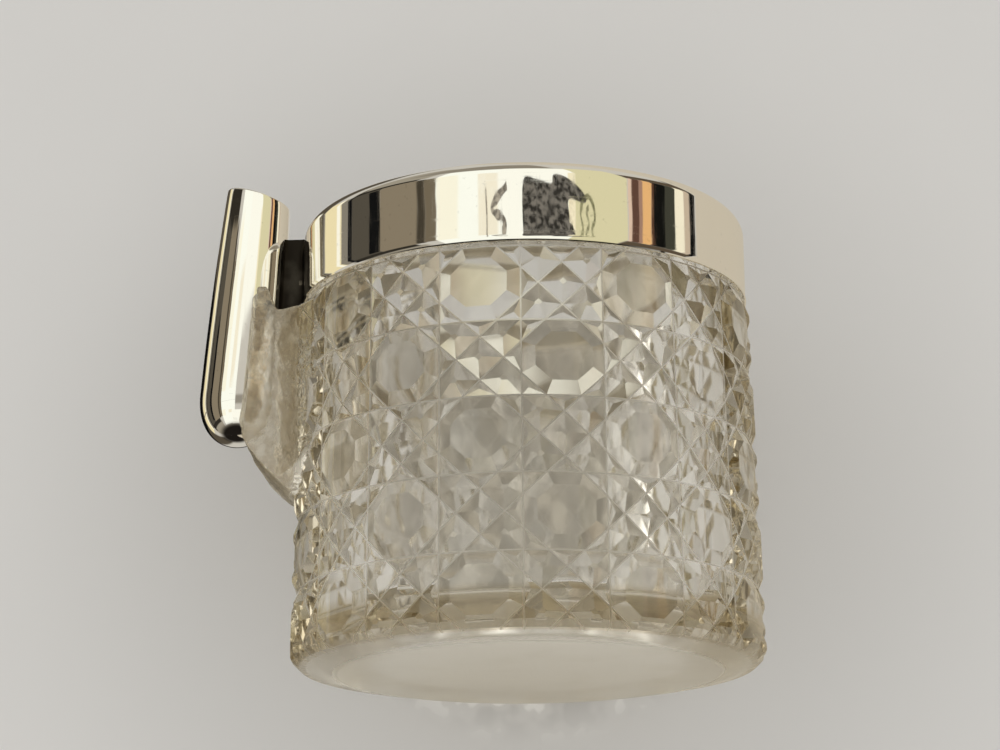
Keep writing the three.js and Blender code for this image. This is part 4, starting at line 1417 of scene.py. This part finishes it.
# What shows in reflections. Each panel is (middle, half width) of its direction in degrees from the
# front toward +X, the same of its height in degrees above or below the horizon alike, the softness
# of its edges in degrees, how far they wander in degrees, and its light.
MIRRORED = (
    ((0.0, 180.0), (0.0, 7.0), 6.0, 0.0, (0.30, 0.28, 0.24)),
    # From left to right
    ((-144.0, 19.1), (25.0, 30.0), 8.0, 0.0, (0.09, 0.075, 0.055)),
    ((-116.5, 8.5), (15.0, 14.0), 1.5, 0.5, (0.86, 0.76, 0.47)),
    ((-111.0, 1.6), (15.0, 14.0), 1.0, 0.5, (1.0, 0.98, 0.85)),
    ((-105.3, 2.9), (15.0, 14.0), 0.8, 0.2, (0.24, 0.22, 0.18)),
    ((-80.0, 27.0), (52.0, 20.0), 5.0, 0.0, (0.34, 0.31, 0.25)),
    ((-80.0, 23.0), (30.0, 5.0), 3.0, 0.0, (0.030, 0.026, 0.020)),
    ((-100.7, 1.8), (16.0, 24.0), 0.6, 0.2, (0.006, 0.006, 0.006)),
    ((-88.8, 10.3), (10.0, 16.0), 0.8, 0.3, (0.085, 0.075, 0.058)),
    ((-82.0, 3.6), (8.0, 14.5), 0.6, 1.2, (0.006, 0.006, 0.006)),
    ((-66.8, 11.7), (10.0, 16.5), 0.8, 0.2, (0.245, 0.205, 0.145)),
    ((-53.3, 2.4), (10.0, 16.5), 1.4, 0.6, (0.055, 0.046, 0.032)),
    ((-47.8, 3.5), (10.0, 15.0), 1.6, 0.6, (0.17, 0.14, 0.095)),
    ((-30.0, 50.0), (68.0, 18.0), 8.0, 0.0, (0.26, 0.235, 0.19)),
    ((-23.0, 21.5), (24.0, 24.0), 1.0, 0.5, (1.02, 1.05, 0.97)),
    ((-38.5, 5.6), (20.0, 6.0), 2.0, 0.5, (1.0, 0.98, 0.82)),
    ((-16.5, 5.5), (19.5, 3.0), 1.0, 0.5, (0.93, 0.88, 0.72)),
    ((8.0, 20.0), (34.0, 16.0), 2.0, 0.0, (1.02, 1.03, 0.94)),
    ((41.3, 14.6), (26.0, 28.0), 1.0, 0.4, (0.70, 0.66, 0.42)),
    ((25.7, 1.9), (19.5, 3.2), 0.6, 0.5, (0.92, 0.85, 0.62)),
    ((57.7, 1.2), (14.0, 13.0), 0.6, 0.6, (0.72, 0.54, 0.42)),
    ((60.8, 2.2), (12.0, 14.0), 0.6, 0.6, (0.115, 0.060, 0.042)),
    ((64.0, 1.2), (12.0, 14.0), 0.6, 0.6, (0.36, 0.22, 0.16)),
    ((67.6, 2.7), (12.0, 14.0), 0.8, 0.6, (0.80, 0.47, 0.20)),
    ((71.2, 0.9), (12.0, 14.0), 0.5, 0.4, (0.09, 0.045, 0.028)),
    ((75.6, 3.7), (12.0, 14.0), 0.5, 0.3, (0.006, 0.006, 0.005)),
    ((82.6, 3.6), (12.0, 14.0), 0.6, 0.3, (0.052, 0.052, 0.038)),
    ((89.4, 3.3), (12.0, 14.0), 0.6, 0.3, (0.93, 0.87, 0.68)),
    ((94.5, 2.0), (12.0, 14.0), 0.6, 0.3, (0.56, 0.46, 0.35)),
    ((98.5, 2.0), (20.0, 28.0), 0.5, 0.2, (0.006, 0.006, 0.006)),
    ((78.0, 22.0), (34.0, 8.0), 3.0, 0.0, (0.10, 0.075, 0.05)),
)
# What is seen through the glass, in the same order, with heights below the horizon negative
BEYOND = (
    ((0.0, 180.0), (-60.0, 60.0), 20.0, 0.0, (0.15, 0.135, 0.11)),
    ((-24.0, 30.0), (42.0, 28.0), 4.0, 0.0, (1.8, 1.76, 1.64)),
    ((84.0, 34.0), (30.0, 34.0), 6.0, 0.0, (1.6, 1.56, 1.44)),
    ((-100.0, 40.0), (10.0, 40.0), 6.0, 0.0, (0.15, 0.125, 0.09)),
)
# The room's own light on surfaces, in reflections, through the glass and behind the pot, the dark
# that reflections show underneath, and the heights in degrees between which that dark fades out
ROOM_LIGHT = (0.79, 0.785, 0.765, 1.0)
MIRRORED_ROOM = (0.58, 0.56, 0.51, 1.0)
ROOM_BEYOND = (0.455, 0.433, 0.39, 1.0)
SEEN_ROOM = (0.60, 0.585, 0.565, 1.0)
DARK_UNDERNEATH = (0.012, 0.010, 0.008, 1.0)
UNDERNEATH = (-60.0, -40.0)


def panelled_light(tree, across, height, wander, room, panels):
    """The light of a room with soft panels in it."""
    light = room
    for (middle, half), (level, half_height), soft, waviness, panel in panels:
        masks = []
        for value, centre, reach in ((across, middle, half), (height, level, half_height)):
            if reach >= 180.0:
                continue
            if waviness and value is across:
                value = math_node(tree, "MULTIPLY_ADD", wander, waviness * 4, value)
            off = math_node(tree, "ABSOLUTE", math_node(tree, "SUBTRACT", value, centre))
            masks.append(ranged(tree, off, reach - soft / 2, reach + soft / 2, 1.0, 0.0))
        mask = masks[0] if len(masks) == 1 else math_node(tree, "MULTIPLY", *masks)
        light = mixed(tree, mask, light, (*panel, 1.0))
    return light


def make_surroundings(scene):
    """A soft studio all round the pot, with pale and dark panels for the reflections."""
    world = bpy.data.worlds.new("soft studio")
    scene.world = world
    world.use_nodes = True
    tree = world.node_tree
    tree.nodes.clear()
    toward = add_node(tree, "TexCoord").outputs["Generated"]
    x, y, z = add_node(tree, "SeparateXYZ", None, {0: toward}).outputs
    ahead = math_node(tree, "MULTIPLY", y, -1.0)
    across = math_node(tree, "DEGREES", math_node(tree, "ARCTAN2", x, ahead))
    height = math_node(tree, "DEGREES", math_node(tree, "ARCSINE", z))
    level = math_node(tree, "ABSOLUTE", height)
    # An upright wall of the collar spreads a degree and a half of height over its whole width
    spread = add_node(tree, "CombineXYZ", None, {
        "X": math_node(tree, "DIVIDE", across, 12.0), "Y": math_node(tree, "DIVIDE", level, 0.45),
    }).outputs[0]
    cloud = add_node(tree, "TexNoise", None, {"Vector": spread, "Scale": 0.6, "Detail": 1.0}).outputs[0]
    wander = math_node(tree, "SUBTRACT", cloud, 0.5)
    mirrored = panelled_light(tree, across, level, wander, MIRRORED_ROOM, MIRRORED)
    underneath = ranged(tree, height, *UNDERNEATH, 1.0, 0.0)
    mirrored = mixed(tree, underneath, mirrored, DARK_UNDERNEATH)
    beyond = panelled_light(tree, across, height, wander, ROOM_BEYOND, BEYOND)
    path = add_node(tree, "LightPath").outputs
    light = add_node(tree, "Background", None, {"Color": ROOM_LIGHT}).outputs[0]
    for kind, seen in (
        ("Is Glossy Ray", mirrored), ("Is Transmission Ray", beyond), ("Is Camera Ray", SEEN_ROOM),
    ):
        other = add_node(tree, "Background", None, {"Color": seen}).outputs[0]
        light = add_node(tree, "MixShader", None, {0: path[kind], 1: light, 2: other}).outputs[0]
    output = add_node(tree, "OutputWorld", None, {"Surface": light})
    output.is_active_output = True


class POT_PT_panel(bpy.types.Panel):
    """Sizes, colours and steps of the pot"""

    bl_idname = "POT_PT_panel"
    bl_label = "Match Striker Pot"
    bl_space_type = "VIEW_3D"
    bl_region_type = "UI"
    bl_category = "Striker Pot"

    def draw(self, context):
        for operator in OPERATORS:
            self.layout.operator(operator.bl_idname)
        for name, group in SETTINGS.items():
            box = self.layout.box()
            box.label(text=group.__doc__.split(".")[0])
            for prop in group.__annotations__:
                box.prop(getattr(context.scene, name), prop)


OPERATORS = (POT_OT_cup, POT_OT_collar, POT_OT_side_tube, POT_OT_stage)
CLASSES = (*SETTINGS.values(), *OPERATORS, POT_PT_panel)


def register():
    for cls in CLASSES:
        bpy.utils.register_class(cls)
    for name, group in SETTINGS.items():
        setattr(bpy.types.Scene, name, PointerProperty(type=group))


def unregister():
    for name in SETTINGS:
        delattr(bpy.types.Scene, name)
    for cls in reversed(CLASSES):
        bpy.utils.unregister_class(cls)


def main():
    register()
    bpy.ops.pot.cup()
    bpy.ops.pot.collar()
    bpy.ops.pot.side_tube()
    bpy.ops.pot.stage()


if __name__ == "__main__":
    main()
